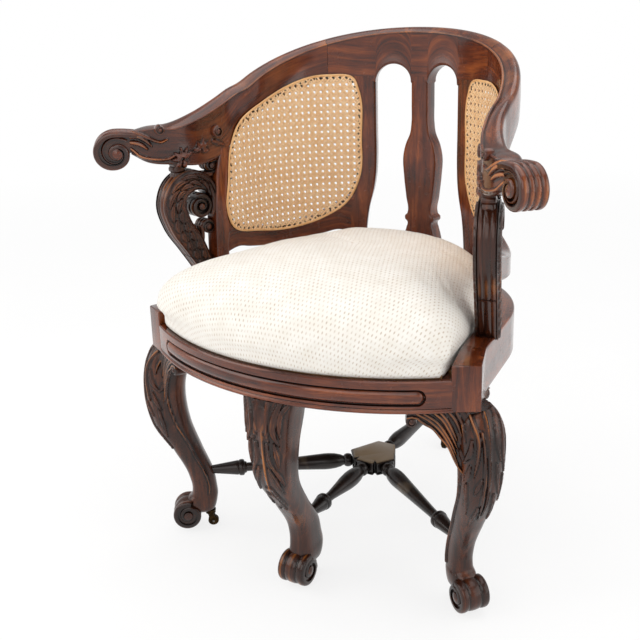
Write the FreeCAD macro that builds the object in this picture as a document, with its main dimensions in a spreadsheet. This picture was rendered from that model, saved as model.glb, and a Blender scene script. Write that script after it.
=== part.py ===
import FreeCAD, Part
import math
import os

import Sketcher

# Barrel-back armchair of carved wood: four legs on casters, a crossed stretcher,
# a horseshoe back with two cane panels, scrolled arms and a lift-out seat.
# Millimetres. +Z is up, +X is to the right of a viewer who faces the chair, the chair
# faces -Y, and the origin is on the floor under the middle of the chair's box.

V = FreeCAD.Vector
UP = V(0, 0, 1)

doc = FreeCAD.newDocument("barrel_armchair")
sheet = doc.addObject("Spreadsheet::Sheet", "Sizes")

# Driving sizes: alias, value and meaning. Plan sizes run from the hub of the stretchers,
# and heights called "rise" run from the top of the side rails.
SIZES = [
    ("hub_y", -9.5, "hub of the stretchers along Y"),
    # seat rails
    ("rail_bottom", 341, "underside of the seat rails above the floor"),
    ("side_rail_height", 68, "height of the side rails and corner blocks"),
    ("front_rail_height", 47, "height of the front rail"),
    ("rail_step", 32, "side rails' outer face outside the back's inner face"),
    ("rail_thickness", 36, "thickness of the side rails"),
    ("rail_straight", 140, "straight end of a side rail"),
    ("back_centre", 52, "centre of the round back in front of the hub"),
    ("flare_angle", 82, "angle from the back's middle where the straight ends start"),
    ("bow_radius", 430, "outer radius of the bowed front rail"),
    ("bow_reach", 326, "front of the bow from the hub"),
    ("bow_thickness", 40, "thickness of the front rail"),
    ("panel_half_angle", 31.5, "half angle of the sunk panel of the front rail"),
    ("panel_margin", 11, "plain wood above and below the sunk panel"),
    ("panel_depth", 4, "depth of the sunk panel"),
    ("field_margin", 3, "gap round the convex field in the panel"),
    ("rail_bead", 3, "radius of the bead along the foot of the front rail"),
    ("block_ahead", 209.4, "outer front corner of a corner block ahead of the flare"),
    ("block_out", 44.4, "outer front corner of a corner block outside the back's line"),
    ("block_front_width", 36, "width of a corner block's front across the chair"),
    ("block_overhang", 1, "corner block past its leg's top"),
    # legs
    ("corner_leg_turn", 1.32, "turn of the corner legs past their blocks' corners, degrees"),
    ("front_leg_inset", 74, "how much nearer the hub the front leg stands"),
    ("leg_corner", 9, "corner radius of the leg's section"),
    ("toe_radius", 26, "radius of the scroll toe"),
    ("toe_width", 46, "width of the scroll toe"),
    ("toe_reach", 328, "centre of the scroll toe from the hub"),
    ("toe_clearance", 5, "gap of the scroll toe above the floor"),
    ("ear_root", 16, "length of an ear inside its block"),
    ("ear_length", 52, "length of the ears beside a knee"),
    ("ear_height", 44, "height of the ears where they meet the knee"),
    ("ear_tip", 13, "height of the ears at their tips"),
    ("ear_thickness", 26, "thickness of the ears"),
    # stretchers
    ("stretcher_height", 106, "axis of the stretchers above the floor"),
    ("hub_reach", 42, "hub from its middle to a stretcher's shoulder"),
    ("hub_lobe", 34, "width of a hub lobe"),
    ("hub_waist", 26, "hub from its middle to the notches"),
    ("hub_thickness", 26, "thickness of the hub"),
    ("stretcher_tenon", 14, "length of the stretchers' tenons"),
    ("tenon_radius", 6, "radius of the stretchers' tenons"),
    ("stretcher_bead", 11, "radius of the beads beside the hub"),
    ("stretcher_swell", 14, "largest radius of a stretcher"),
    ("stretcher_neck", 7.5, "radius of a stretcher's neck"),
    ("stretcher_collar", 13.5, "radius of the collar near the leg"),
    ("bead_length", 14, "length of the beads beside the hub"),
    ("swell_length", 46, "from the hub's shoulder to the fullest part"),
    ("neck_length", 14, "length of the neck before the collar"),
    ("collar_length", 12, "length of the collar"),
    ("side_cone", 52, "collar and cone up to a corner leg or the back leg"),
    ("front_cone", 38, "collar and cone up to the front leg"),
    ("collar_step", 4, "slope between the neck and the collar"),
    # back
    ("back_radius", 218, "inner radius of the back"),
    ("back_thickness", 30, "thickness of the back's uprights"),
    ("crest_height", 81.7, "height of the crest's middle"),
    ("crest_fall", 42, "drop of the crest at sixty degrees from its middle"),
    ("crest_foot", 336, "underside of the crest over the uprights"),
    ("crest_round", 12, "height of the rounded top of the crest"),
    ("crest_set_in", 0.3, "setting in of the uprights from the crest's faces"),
    ("seam_angle", 42, "seams of the crest from its middle"),
    ("seam_depth", 66, "depth of the crest at its seams"),
    ("slot_half", 78, "outer edge of the slots from the middle"),
    ("slot_over", 21, "slots' heads above the crest's foot"),
    ("slot_foot_half", 98, "outer edge of the slots at their foot"),
    ("stile_width", 32, "width of the inner stiles"),
    ("splat_neck", 15.5, "half width of the splat's neck"),
    ("splat_shoulder", 30.5, "half width of the splat's shoulders"),
    ("splat_waist", 23, "half width of the splat above its bead"),
    ("splat_bead", 27, "half width of the splat's bead"),
    ("splat_foot", 34, "half width of the splat's foot"),
    ("lower_rail_rise", 55, "underside of the lower rails"),
    ("lower_rail_height", 34, "height of the lower rails at their middle"),
    ("outer_stile_width", 36, "width of the outer stiles at their foot"),
    ("outer_stile_end", 102, "outer edge of the outer stiles past the flare"),
    ("cane_thickness", 2, "thickness of the cane"),
    ("cane_gap", 0.2, "gap between the cane and its frame"),
    ("cane_overlap", 9, "overlap of the cane on its frame"),
    ("cane_hole_radius", 7.5, "radius of the openings that stand for the open weave"),
    ("cane_hole_pitch", 24, "spacing of the openings of the weave"),
    ("cane_hole_margin", 14, "plain cane between the openings and the edge"),
    # arms
    ("volute_ahead", 214, "middle of an arm's volute ahead of the flare"),
    ("volute_out", 94.5, "middle of an arm's volute outside the back's line"),
    ("volute_drop", 88, "middle of an arm's volute under the crest's foot"),
    ("volute_radius", 31, "radius of a volute"),
    ("volute_width", 40, "width of a volute"),
    ("volute_turn", 48.5, "turn of a volute from straight ahead"),
    # arm posts
    ("post_ahead", 69.8, "inner foot of an arm post ahead of the flare"),
    ("post_in", 1.6, "inner foot of an arm post inside the back's line"),
    ("post_turn", 19, "turn of an arm post from straight ahead"),
    ("post_foot_along", 15, "middle of an arm post's foot along the post"),
    ("post_foot_width", 26, "width of an arm post's foot"),
    ("post_neck_width", 16, "width of the necked block over an arm post"),
    ("post_thickness", 30, "thickness of an arm post"),
    ("post_eye_along", 47, "middle of the post's large scroll, along the post"),
    ("post_eye_drop", 72, "middle of the post's large scroll under the arm"),
    ("post_eye_radius", 26, "radius of the post's large scroll"),
    ("post_curl_along", 33, "middle of the post's small scroll, along the post"),
    ("post_curl_drop", 108, "middle of the post's small scroll under the arm"),
    ("post_curl_radius", 12.5, "radius of the post's small scroll"),
    ("post_bracket_along", 20, "middle of the post's bracket scroll, along the post"),
    ("post_bracket_drop", 9, "middle of the post's bracket scroll under the arm"),
    ("post_bracket_radius", 14, "radius of the post's bracket scroll"),
    # lift-out seat
    ("seat_front_margin", 5, "front rail showing in front of the seat"),
    ("seat_back_gap", 5, "gap between the seat and the back"),
    ("seat_side_gap", 2, "gap between the seat and the side rails"),
    ("seat_rest", 0.2, "gap under the seat frame"),
    ("seat_frame_height", 20, "thickness of the seat's wooden frame"),
    ("seat_frame_width", 44, "width of the seat's wooden frame"),
    ("seat_skirt", 5, "padding and cover folded over the frame's edge"),
    ("seat_crown", 102, "crown of the seat above the side rails"),
    ("cover_thickness", 3, "thickness of the cover with its lining"),
    ("strap_width", 50, "width of the webbing"),
    ("strap_thickness", 1.2, "thickness of the webbing"),
    ("strap_pitch", 78, "spacing of the webbing"),
    ("dust_cover_thickness", 0.8, "thickness of the dust cover"),
    ("dust_cover_overlap", 14, "overlap of the dust cover on the frame"),
    # glue blocks, dowels and screws
    ("glue_block_height", 38, "height of the glue blocks"),
    ("glue_block_reach", 52, "reach of the glue blocks along the rails"),
    ("back_block_depth", 24, "depth of the back glue block"),
    ("dowel_radius", 5, "radius of the dowels"),
    ("dowel_length", 44, "length of the dowels"),
    ("dowel_spread", 26, "spacing of a pair of dowels"),
    ("screw_radius", 2.2, "radius of the glue blocks' screws"),
    ("screw_length", 38, "length of the glue blocks' screws"),
    ("screw_head", 4.4, "head radius of the glue blocks' screws"),
    # casters
    ("wheel_radius", 9, "radius of a caster wheel"),
    ("wheel_width", 8, "width of a caster wheel"),
    ("wheel_chamfer", 1, "bevel of a wheel's tread"),
    ("wheel_start", 10, "near side of a wheel in its own sketch"),
    ("wheel_gap", 0.4, "gap between a wheel and its fork"),
    ("axle_radius", 2, "radius of a caster axle"),
    ("running_fit", 0.05, "radial clearance of a turning fit"),
    ("caster_set", 37, "pivot of the casters behind the toe's centre"),
    ("caster_trail", 4, "axle from the pivot"),
    ("cheek_thickness", 2, "thickness of the fork's cheeks"),
    ("cheek_radius", 5, "radius of the fork's cheeks round the axle"),
    ("crown_radius", 8.5, "radius of the fork's crown"),
    ("crown_thickness", 4, "thickness of the fork's crown"),
    ("crown_gap", 6, "gap between the wheel and the fork's crown"),
    ("swivel_gap", 0.3, "gap between the fork and the plate"),
    ("pivot_radius", 2.5, "radius of the pivot pin"),
    ("pivot_head", 4, "radius of the pivot pin's head"),
    ("pivot_head_height", 2, "height of the pivot pin's head"),
    ("plate_radius", 9, "radius of the caster plate"),
    ("plate_thickness", 2.5, "thickness of the caster plate"),
    ("plate_screw_radius", 1.2, "radius of the caster plate's screws"),
    ("plate_screw_length", 14, "length of the caster plate's screws"),
    ("plate_screw_circle", 6.2, "screws of the caster plate from its middle"),
]

# Leg sections over the toe: name, height, front and back edge behind the toe's centre, width.
FOOT = [
    ("foot", 62, 9, 52, 36),
    ("ankle", 100, 5, 48, 36),
]
FRONT_FOOT = [
    ("front_foot", 62, 0, 56, 38),
    ("front_ankle", 100, -2, 47, 37),
]
BACK_FOOT = [
    ("back_ankle", 75, 16, 57, 35),
]
# Leg sections above: name, height, front and back edge from the hub, width.
CABRIOLE = [
    ("shin", 150, 348, 297, 42),
    ("calf", 205, 379, 314, 52),
    ("knee", 265, 387, 318, 62),
    ("brow", 318, 377, 306, 66),
]
FRONT_CABRIOLE = [
    ("front_shin", 150, 361, 308, 43),
    ("front_calf", 205, 397, 331, 56),
    ("front_knee", 265, 408, 334, 68),
    ("front_brow", 318, 407, 332, 76),
]
RAKED = [
    ("back_shin", 130, 281, 238, 37),
    ("back_calf", 200, 247, 201, 42),
    ("back_knee", 280, 217, 168, 50),
]
LEG_ENDS = [
    ("heel_front_set", 10, "front of the heel behind the toe's centre"),
    ("heel_back_set", 46, "back of the heel behind the toe's centre"),
    ("heel_width", 34, "width of the heel"),
    ("leg_top_front", 364, "front of a leg's top from the hub"),
    ("leg_top_back", 300, "back of a leg's top from the hub"),
    ("leg_top_width", 68, "width of a leg's top"),
    ("front_top_depth", 62, "depth of the front leg's top"),
    ("front_top_width", 83, "width of the front leg's top"),
    ("back_top_set", 1, "outer edge of the back leg's top inside the rails' outer face"),
    ("back_top_depth", 49, "depth of the back leg's top"),
    ("back_top_width", 58, "width of the back leg's top"),
]

# Arm sections between the seam and the flare: name and depth.
ARM_ON_BACK = [
    ("arm_first", 64),
    ("arm_second", 63),
    ("arm_third", 62),
    ("arm_fourth", 62),
]
# Arm sections past the flare: name, place ahead of the flare and outside the back's line,
# heading, width, and drop of the underside and the top under the crest's foot.
ARM_FREE = [
    ("arm_flare", 30, 15, 8, 30, 78, 8),
    ("arm_elbow", 60, 15, 10, 30, 103, 20),
    ("arm_post", 104.5, 22.8, 20, 34, 120, 39),
    ("arm_wrist", 145.1, 39.3, 34, 38, 115, 53),
    ("arm_neck", 177, 63, 46, 40, 98, 57),
    ("arm_end", 206, 88, 48.5, 40, 86, 58),
]
# Scroll band of an arm post: distance along the post, drop under the arm and width.
POST_BAND = [
    ("post_shin", 42, 171, 28),
    ("post_calf", 62, 133, 36),
    ("post_belly", 85, 95, 38),
    ("post_breast", 92.5, 62, 39),
    ("post_shoulder", 82, 39, 38),
    ("post_top", 58, 28, 36),
    ("post_hook", 30, 37, 30),
]
# Outline of a cane panel: name, distance along the back's inner line (from its middle, or past
# the flare) and height (rise over the rail, or drop under the crest's foot).
CANE = [
    ("cane_inner_low", "middle", 104, "rise", 166),
    ("cane_inner_mid", "middle", 101, "rise", 230),
    ("cane_inner_high", "middle", 102, "drop", 24),
    ("cane_corner", "middle", 114, "drop", 1),
    ("cane_top", "middle", 160, "drop", -4),
    ("cane_slope", "flare", -27, "drop", 35),
    ("cane_shoulder", "flare", 44, "drop", 70),
    ("cane_outer_high", "flare", 62, "drop", 96),
    ("cane_outer_mid", "flare", 72, "rise", 180),
    ("cane_outer_low", "flare", 74, "rise", 142),
    ("cane_heel", "flare", 60, "rise", 108),
    ("cane_foot", "flare", -7, "rise", 86),
    ("cane_floor", "flare", -72, "rise", 79),
    ("cane_rise", "middle", 181, "rise", 89),
    ("cane_toe", "middle", 128, "rise", 118),
]


def station_sizes():
    """Sizes of the section tables, one alias for each number."""
    rows = []
    for name, height, front, back, width in FOOT + FRONT_FOOT + BACK_FOOT:
        rows.append((name + "_height", height, "height of the leg's " + name))
        rows.append((name + "_front_set", front, "front of the leg's " + name + " behind the toe's centre"))
        rows.append((name + "_back_set", back, "back of the leg's " + name + " behind the toe's centre"))
        rows.append((name + "_width", width, "width of the leg's " + name))
        rows.append((name + "_front", "=toe_reach - " + name + "_front_set", "front from the hub"))
        rows.append((name + "_back", "=toe_reach - " + name + "_back_set", "back from the hub"))
    for name, height, front, back, width in CABRIOLE + FRONT_CABRIOLE + RAKED:
        rows.append((name + "_height", height, "height of the leg's " + name))
        rows.append((name + "_front", front, "front of the leg's " + name + " from the hub"))
        rows.append((name + "_back", back, "back of the leg's " + name + " from the hub"))
        rows.append((name + "_width", width, "width of the leg's " + name))
    for name, depth in ARM_ON_BACK:
        rows.append((name + "_depth", depth, "depth of the section"))
    for name, ahead, out, heading, width, under, top in ARM_FREE:
        rows.append((name + "_ahead", ahead, "place of the section ahead of the flare"))
        rows.append((name + "_out", out, "place of the section outside the back's line"))
        rows.append((name + "_heading", heading, "heading of the arm at the section, degrees"))
        rows.append((name + "_width", width, "width of the section"))
        rows.append((name + "_under", under, "underside of the section under the crest's foot"))
        rows.append((name + "_top", top, "top of the section under the crest's foot"))
    for name, along, drop, width in POST_BAND:
        rows.append((name + "_along", along, "place of the scroll band along the post"))
        rows.append((name + "_drop", drop, "place of the scroll band under the arm"))
        rows.append((name + "_width", width, "width of the scroll band"))
    for name, along_from, along, height_from, height in CANE:
        rows.append((name + "_along", along, "cane outline along the back, from the " + along_from))
        rows.append((name + "_" + height_from, height, "cane outline's " + height_from))
    return rows


# Sizes that follow from others, as formulas of the sheet.
DERIVED = [
    ("block_radius", "=back_radius + block_out", "outer corner of a block from the back's centre line"),
    ("corner_x", "=block_radius * sin(flare_angle) + block_ahead * cos(flare_angle)",
     "outer front corner of a corner block, across"),
    ("corner_y", "=back_centre + block_ahead * sin(flare_angle) - block_radius * cos(flare_angle)",
     "outer front corner of a corner block, forward"),
    ("corner_inset", "=leg_top_front + block_overhang - sqrt(corner_x * corner_x + corner_y * corner_y)",
     "how much nearer the hub the corner legs stand"),
    ("front_top_front", "=bow_reach + front_leg_inset", "front of the front leg's top before its inset"),
    ("front_top_back", "=front_top_front - front_top_depth", "back of the front leg's top before its inset"),
    ("back_top_front", "=back_radius + rail_step - back_centre - back_top_set",
     "outer edge of the back leg's top from the hub"),
    ("back_top_back", "=back_top_front - back_top_depth", "inner edge of the back leg's top from the hub"),
    ("corner_end", "=ankle_back - corner_inset + stretcher_tenon", "tip of the corner stretchers"),
    ("corner_collar", "=ankle_back - corner_inset - side_cone", "collar of the corner stretchers"),
    ("corner_cone_at", "=corner_collar + collar_length", "cone of the corner stretchers"),
    ("corner_neck_end", "=corner_collar - collar_step", "end of the corner stretchers' neck"),
    ("corner_neck_at", "=corner_neck_end - neck_length", "start of the corner stretchers' neck"),
    ("back_end", "=ankle_back + stretcher_tenon", "tip of the back stretcher from the hub"),
    ("front_end", "=front_ankle_back - front_leg_inset + stretcher_tenon", "tip of the front stretcher"),
    ("back_collar", "=ankle_back - side_cone", "collar of the back stretcher"),
    ("front_collar", "=front_ankle_back - front_leg_inset - front_cone", "collar of the front stretcher"),
    ("back_cone_at", "=back_collar + collar_length", "cone of the back stretcher"),
    ("front_cone_at", "=front_collar + collar_length", "cone of the front stretcher"),
    ("back_neck_end", "=back_collar - collar_step", "end of the back stretcher's neck"),
    ("front_neck_end", "=front_collar - collar_step", "end of the front stretcher's neck"),
    ("back_neck_at", "=back_neck_end - neck_length", "start of the back stretcher's neck"),
    ("front_neck_at", "=front_neck_end - neck_length", "start of the front stretcher's neck"),
    ("hub_tip", "=hub_reach - stretcher_tenon", "inner tip of the stretchers"),
    ("bead_end", "=hub_reach + bead_length", "end of the beads"),
    ("swell_at", "=hub_reach + swell_length", "fullest part of the stretchers"),
    ("wheel_bore", "=axle_radius + running_fit", "bore of a wheel"),
    ("wheel_shoulder", "=wheel_radius - wheel_chamfer", "radius of a wheel's sides"),
    ("wheel_tread_at", "=wheel_start + wheel_chamfer", "near edge of a wheel's tread"),
    ("wheel_stop", "=wheel_start + wheel_width", "far side of a wheel"),
    ("wheel_tread_end", "=wheel_stop - wheel_chamfer", "far edge of a wheel's tread"),
    ("axle_length", "=wheel_width + 2 * wheel_gap + 2 * cheek_thickness", "length of an axle"),
]


def fill_sheet():
    """Write every size into the sheet, with its alias and meaning."""
    rows = SIZES + LEG_ENDS + station_sizes() + DERIVED
    for number, (alias, value, meaning) in enumerate(rows, start=1):
        sheet.set("A%d" % number, meaning)
        sheet.set("B%d" % number, str(value))
        sheet.setAlias("B%d" % number, alias)
    doc.recompute()


fill_sheet()


def size(alias):
    """Number in the sheet's cell of that alias."""
    return float(sheet.get(alias))


# Heights and plan places that many pieces share
RAIL_TOP = size("rail_bottom") + size("side_rail_height")
SEAT_LEDGE = size("rail_bottom") + size("front_rail_height")
HUB = V(0, size("hub_y"), 0)
BACK_MIDDLE = V(0, size("hub_y") - size("back_centre"), 0)
BOW_MIDDLE = V(0, size("hub_y") - size("bow_reach") + size("bow_radius"), 0)
FLARE = math.radians(size("flare_angle"))
FLARE_ALONG = size("back_radius") * FLARE
CREST_FOOT = size("crest_foot")
ARM_UNDER = CREST_FOOT - size("arm_wrist_under")
CORNER_ANGLE = math.degrees(math.atan2(size("corner_x"), size("corner_y"))) + size("corner_leg_turn")
HEEL_FRONT = size("toe_reach") - size("heel_front_set")
HEEL_BACK = size("toe_reach") - size("heel_back_set")
CASTER_REACH = size("toe_reach") - size("caster_set")
HEEL = (2 * size("wheel_radius") + size("crown_gap") + size("crown_thickness")
        + size("swivel_gap") + size("plate_thickness"))

nodes = []


def keep(obj, label):
    """Name an object as a sub-part of the chair."""
    obj.Label = label
    nodes.append(obj)
    return obj


def feature(label, shape):
    """Sub-part whose shape is made with Part's own functions."""
    obj = doc.addObject("Part::Feature", label)
    obj.Shape = shape
    return keep(obj, label)


def polygon_prism(points, bottom, height):
    """Upright prism over a plan polygon."""
    flat = [V(p.x, p.y, bottom) for p in points]
    face = Part.Face(Part.makePolygon(flat + flat[:1]))
    return face.extrude(UP * height)


def curve_edge(points):
    """Line through two points, or smooth curve through more."""
    if len(points) == 2:
        return Part.LineSegment(points[0], points[1]).toShape()
    curve = Part.BSplineCurve()
    curve.interpolate(points)
    return curve.toShape()


def outline_face(chains):
    """Face bounded by chains of points, each a line or a smooth curve."""
    edges = [curve_edge(chain) for chain in chains]
    return Part.Face(Part.Wire(edges))


def largest_solid(shape):
    """Main solid of a cut that may leave chips behind."""
    return max(shape.Solids, key=lambda solid: solid.Volume)


def mirrored(shape):
    """The same shape on the other side of the chair."""
    return shape.mirror(V(0, 0, 0), V(1, 0, 0))


# Line of the back: an arc that runs on in straight flaring ends

def back_frame(along, outward):
    """Plan point and outward direction at a distance along the back's inner line."""
    side = -1 if along < 0 else 1
    angle = min(abs(along), FLARE_ALONG) / size("back_radius")
    straight = max(0.0, abs(along) - FLARE_ALONG)
    radius = size("back_radius") + outward
    across = radius * math.sin(angle) + straight * math.cos(angle)
    backward = radius * math.cos(angle) - straight * math.sin(angle)
    normal = V(side * math.sin(angle), math.cos(angle), 0)
    return BACK_MIDDLE + V(side * across, backward, 0), normal


def flare_point(ahead, outward):
    """Plan point ahead of the right flare and outside the back's line."""
    start, normal = back_frame(FLARE_ALONG, outward)
    return start + V(normal.y, -normal.x, 0) * ahead


def back_line(start, end, outward, height):
    """Edges along the back's line between two distances."""
    breaks = [b for b in (-FLARE_ALONG, FLARE_ALONG) if start < b < end]
    stops = [start] + breaks + [end]
    edges = []
    for first, last in zip(stops, stops[1:]):
        middle = (first + last) / 2
        low, centre, high = [back_frame(a, outward)[0] + UP * height for a in (first, middle, last)]
        if abs(middle) > FLARE_ALONG:
            edges.append(Part.LineSegment(low, high).toShape())
        else:
            edges.append(Part.Arc(low, centre, high).toShape())
    return edges


def back_wall(start, end, inner, outer, bottom, height):
    """Upright wall along the back's line, between two offsets."""
    inside = back_line(start, end, inner, bottom)
    outside = back_line(start, end, outer, bottom)
    caps = []
    for along in (start, end):
        near = back_frame(along, inner)[0] + UP * bottom
        far = back_frame(along, outer)[0] + UP * bottom
        caps.append(Part.LineSegment(near, far).toShape())
    wire = Part.Wire(Part.sortEdges(inside + outside + caps)[0])
    return Part.Face(wire).extrude(UP * height)


def back_outline(chains, start, end, inner, outer):
    """Wall along the back cut to an outline given in distance along the back and rise."""
    first = back_frame(start, 0)[0]
    last = back_frame(end, 0)[0]
    chord = (last - first).normalize()
    depth = chord.cross(UP)
    deep = size("back_radius")

    def place(along, rise):
        point = back_frame(along, 0)[0]
        on_chord = first + chord * (point - first).dot(chord)
        return on_chord + UP * (RAIL_TOP + rise) - depth * deep

    face = outline_face([[place(a, r) for a, r in chain] for chain in chains])
    cutter = face.extrude(depth * (2 * deep))
    rises = [r for chain in chains for a, r in chain]
    floor = RAIL_TOP + min(rises) - 1
    wall = back_wall(start, end, inner, outer, floor, max(rises) - min(rises) + 2)
    return largest_solid(wall.common(cutter))


# Seat rails

def block_corners():
    """Plan corners of the right corner block: rail end outside and inside, then the front."""
    step = size("rail_step")
    end = FLARE_ALONG + size("rail_straight")
    back_outer = back_frame(end, step)[0]
    back_inner = back_frame(end, step - size("rail_thickness"))[0]
    front_outer = HUB + V(size("corner_x"), -size("corner_y"), 0)
    across = size("corner_x") - size("block_front_width")
    reach = math.sqrt(size("bow_radius") ** 2 - across ** 2)
    front_inner = BOW_MIDDLE + V(across, -reach, 0)
    return back_outer, back_inner, front_inner, front_outer


def corner_block():
    return polygon_prism(block_corners(), size("rail_bottom"), size("side_rail_height"))


def side_rail():
    """Right side rail, from the middle of the back to the corner block."""
    step = size("rail_step")
    end = FLARE_ALONG + size("rail_straight")
    inner = step - size("rail_thickness")
    return back_wall(0, end, inner, step, size("rail_bottom"), size("side_rail_height"))


def bow_revolve(face, half_angle):
    """Face at the middle of the bow turned round the bow's centre."""
    start = face.copy()
    start.rotate(BOW_MIDDLE, UP, -half_angle)
    return start.revolve(BOW_MIDDLE, UP, 2 * half_angle)


def bow_face(points):
    """Face in the chair's middle plane from (radius on the bow, height) points."""
    places = [V(0, BOW_MIDDLE.y - radius, height) for radius, height in points]
    return Part.Face(Part.makePolygon(places + places[:1]))


def front_rail():
    """Bowed rail with a sunk panel, a convex field in it and a bead along its foot."""
    outer = size("bow_radius")
    inner = outer - size("bow_thickness")
    foot = size("rail_bottom")
    top = SEAT_LEDGE
    rail = bow_revolve(bow_face([(inner, foot), (outer, foot), (outer, top), (inner, top)]), 44)
    low = foot + size("panel_margin")
    high = top - size("panel_margin")
    sunk = outer - size("panel_depth")
    past = outer + size("panel_depth")
    half = size("panel_half_angle")
    panel = bow_revolve(bow_face([(sunk, low), (past, low), (past, high), (sunk, high)]), half)
    gap = size("field_margin")
    middle = (low + high) / 2
    ends = [V(0, BOW_MIDDLE.y - sunk + 1, h) for h in (low + gap, high - gap)]
    swell = V(0, BOW_MIDDLE.y - outer, middle)
    edges = [Part.Arc(ends[0], swell, ends[1]).toShape(), Part.LineSegment(ends[1], ends[0]).toShape()]
    gap_angle = math.degrees(gap / outer)
    field = bow_revolve(Part.Face(Part.Wire(edges)), half - gap_angle)
    bead_middle = V(0, BOW_MIDDLE.y - outer, foot + size("rail_bead"))
    bead_ring = Part.makeCircle(size("rail_bead"), bead_middle, V(1, 0, 0))
    bead = bow_revolve(Part.Face(Part.Wire([bead_ring])), 44)
    rail = rail.cut(panel).fuse([field, bead])
    back_outer, back_inner, front_inner, front_outer = block_corners()
    side = back_inner - front_inner
    corners = [front_inner - side, back_inner + side]
    far = [corners[1] + V(outer, 0, 0), corners[0] + V(outer, 0, 0)]
    trim = polygon_prism(corners + far, foot - outer, 2 * outer)
    return largest_solid(rail.cut(trim).cut(mirrored(trim)))


# Legs, built facing ahead (-Y) from the hub and then turned into place

def leg_section(height, front, back, width):
    """Rounded rectangle at a height."""
    corner = min(size("leg_corner"), 0.45 * width, 0.45 * (front - back))
    half = width / 2
    turn = corner * (1 - math.sqrt(0.5))
    edges = []
    corners = [(half, -back), (-half, -back), (-half, -front), (half, -front)]
    middle = -(front + back) / 2
    stops = []
    for x, y in corners:
        inward_x = -math.copysign(corner, x)
        inward_y = math.copysign(corner, middle - y)
        on_side = V(x, y + inward_y, height)
        on_end = V(x + inward_x, y, height)
        mid = V(x + math.copysign(turn, inward_x), y + math.copysign(turn, inward_y), height)
        stops.append((on_side, mid, on_end))
    order = [stops[0], stops[1][::-1], stops[2], stops[3][::-1]]
    for index, (first, mid, last) in enumerate(order):
        edges.append(Part.Arc(first, mid, last).toShape())
        following = order[(index + 1) % len(order)][0]
        edges.append(Part.LineSegment(last, following).toShape())
    return Part.Wire(edges)


def leg_body(table, top, inset):
    """Lofted leg with its scroll toe, from the heel to the rail."""
    rows = [(HEEL, HEEL_FRONT, HEEL_BACK, size("heel_width"))]
    for row in table:
        name = row[0]
        sides = (size(name + "_front"), size(name + "_back"))
        rows.append((size(name + "_height"), *sides, size(name + "_width")))
    rows.append((size("rail_bottom"),) + top)
    wires = [leg_section(height, front - inset, back - inset, width) for height, front, back, width in rows]
    loft = Part.makeLoft(wires, True, False)
    centre = V(-size("toe_width") / 2, inset - size("toe_reach"), size("toe_radius") + size("toe_clearance"))
    toe = Part.makeCylinder(size("toe_radius"), size("toe_width"), centre, V(1, 0, 0))
    return loft.fuse(toe).removeSplitter()


def turned(shape, angle):
    """Shape turned from straight ahead about the hub and moved to it."""
    result = shape.copy()
    result.rotate(V(0, 0, 0), UP, angle)
    result.translate(HUB)
    return result


def ear(start, direction, inward):
    """Bracket under a rail beside a knee, with a hollow lower edge."""
    top = size("rail_bottom")
    length = size("ear_length")
    root = start - direction * size("ear_root") + UP * (top - size("ear_height"))
    bend = start + direction * (length * 0.35) + UP * (top - size("ear_tip") * 1.3)
    tip = start + direction * length + UP * (top - size("ear_tip"))
    tip_top = start + direction * length + UP * top
    root_top = start - direction * size("ear_root") + UP * top
    edges = [Part.Arc(root, bend, tip).toShape(),
             Part.LineSegment(tip, tip_top).toShape(),
             Part.LineSegment(tip_top, root_top).toShape(),
             Part.LineSegment(root_top, root).toShape()]
    return Part.Face(Part.Wire(edges)).extrude(inward * size("ear_thickness"))


def corner_leg():
    """Right corner leg with its block and its two ears."""
    top = (size("leg_top_front"), size("leg_top_back"), size("leg_top_width"))
    leg = turned(leg_body(FOOT + CABRIOLE, top, size("corner_inset")), CORNER_ANGLE)
    back_outer, back_inner, front_inner, front_outer = block_corners()
    ahead = (front_inner - front_outer).normalize()
    front_ear = ear(front_inner, ahead, V(-ahead.y, ahead.x, 0) * -1)
    aside = (back_outer - front_outer).normalize()
    side_ear = ear(back_outer, aside, V(-aside.y, aside.x, 0))
    return leg.fuse([corner_block(), front_ear, side_ear]).removeSplitter()


# Stretchers

def hub_points():
    """Plan outline of the lobed hub."""
    angles = [0, CORNER_ANGLE, 180, 360 - CORNER_ANGLE]
    points = []
    for index, angle in enumerate(angles):
        ahead = V(math.sin(math.radians(angle)), -math.cos(math.radians(angle)), 0)
        aside = V(-ahead.y, ahead.x, 0)
        half = size("hub_lobe") / 2
        following = angles[(index + 1) % 4] + (360 if index == 3 else 0)
        notch = math.radians((angle + following) / 2)
        points.append(HUB + ahead * size("hub_reach") - aside * half)
        points.append(HUB + ahead * size("hub_reach") + aside * half)
        points.append(HUB + V(math.sin(notch), -math.cos(notch), 0) * (size("hub_waist") + half / 2))
    return points


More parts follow.
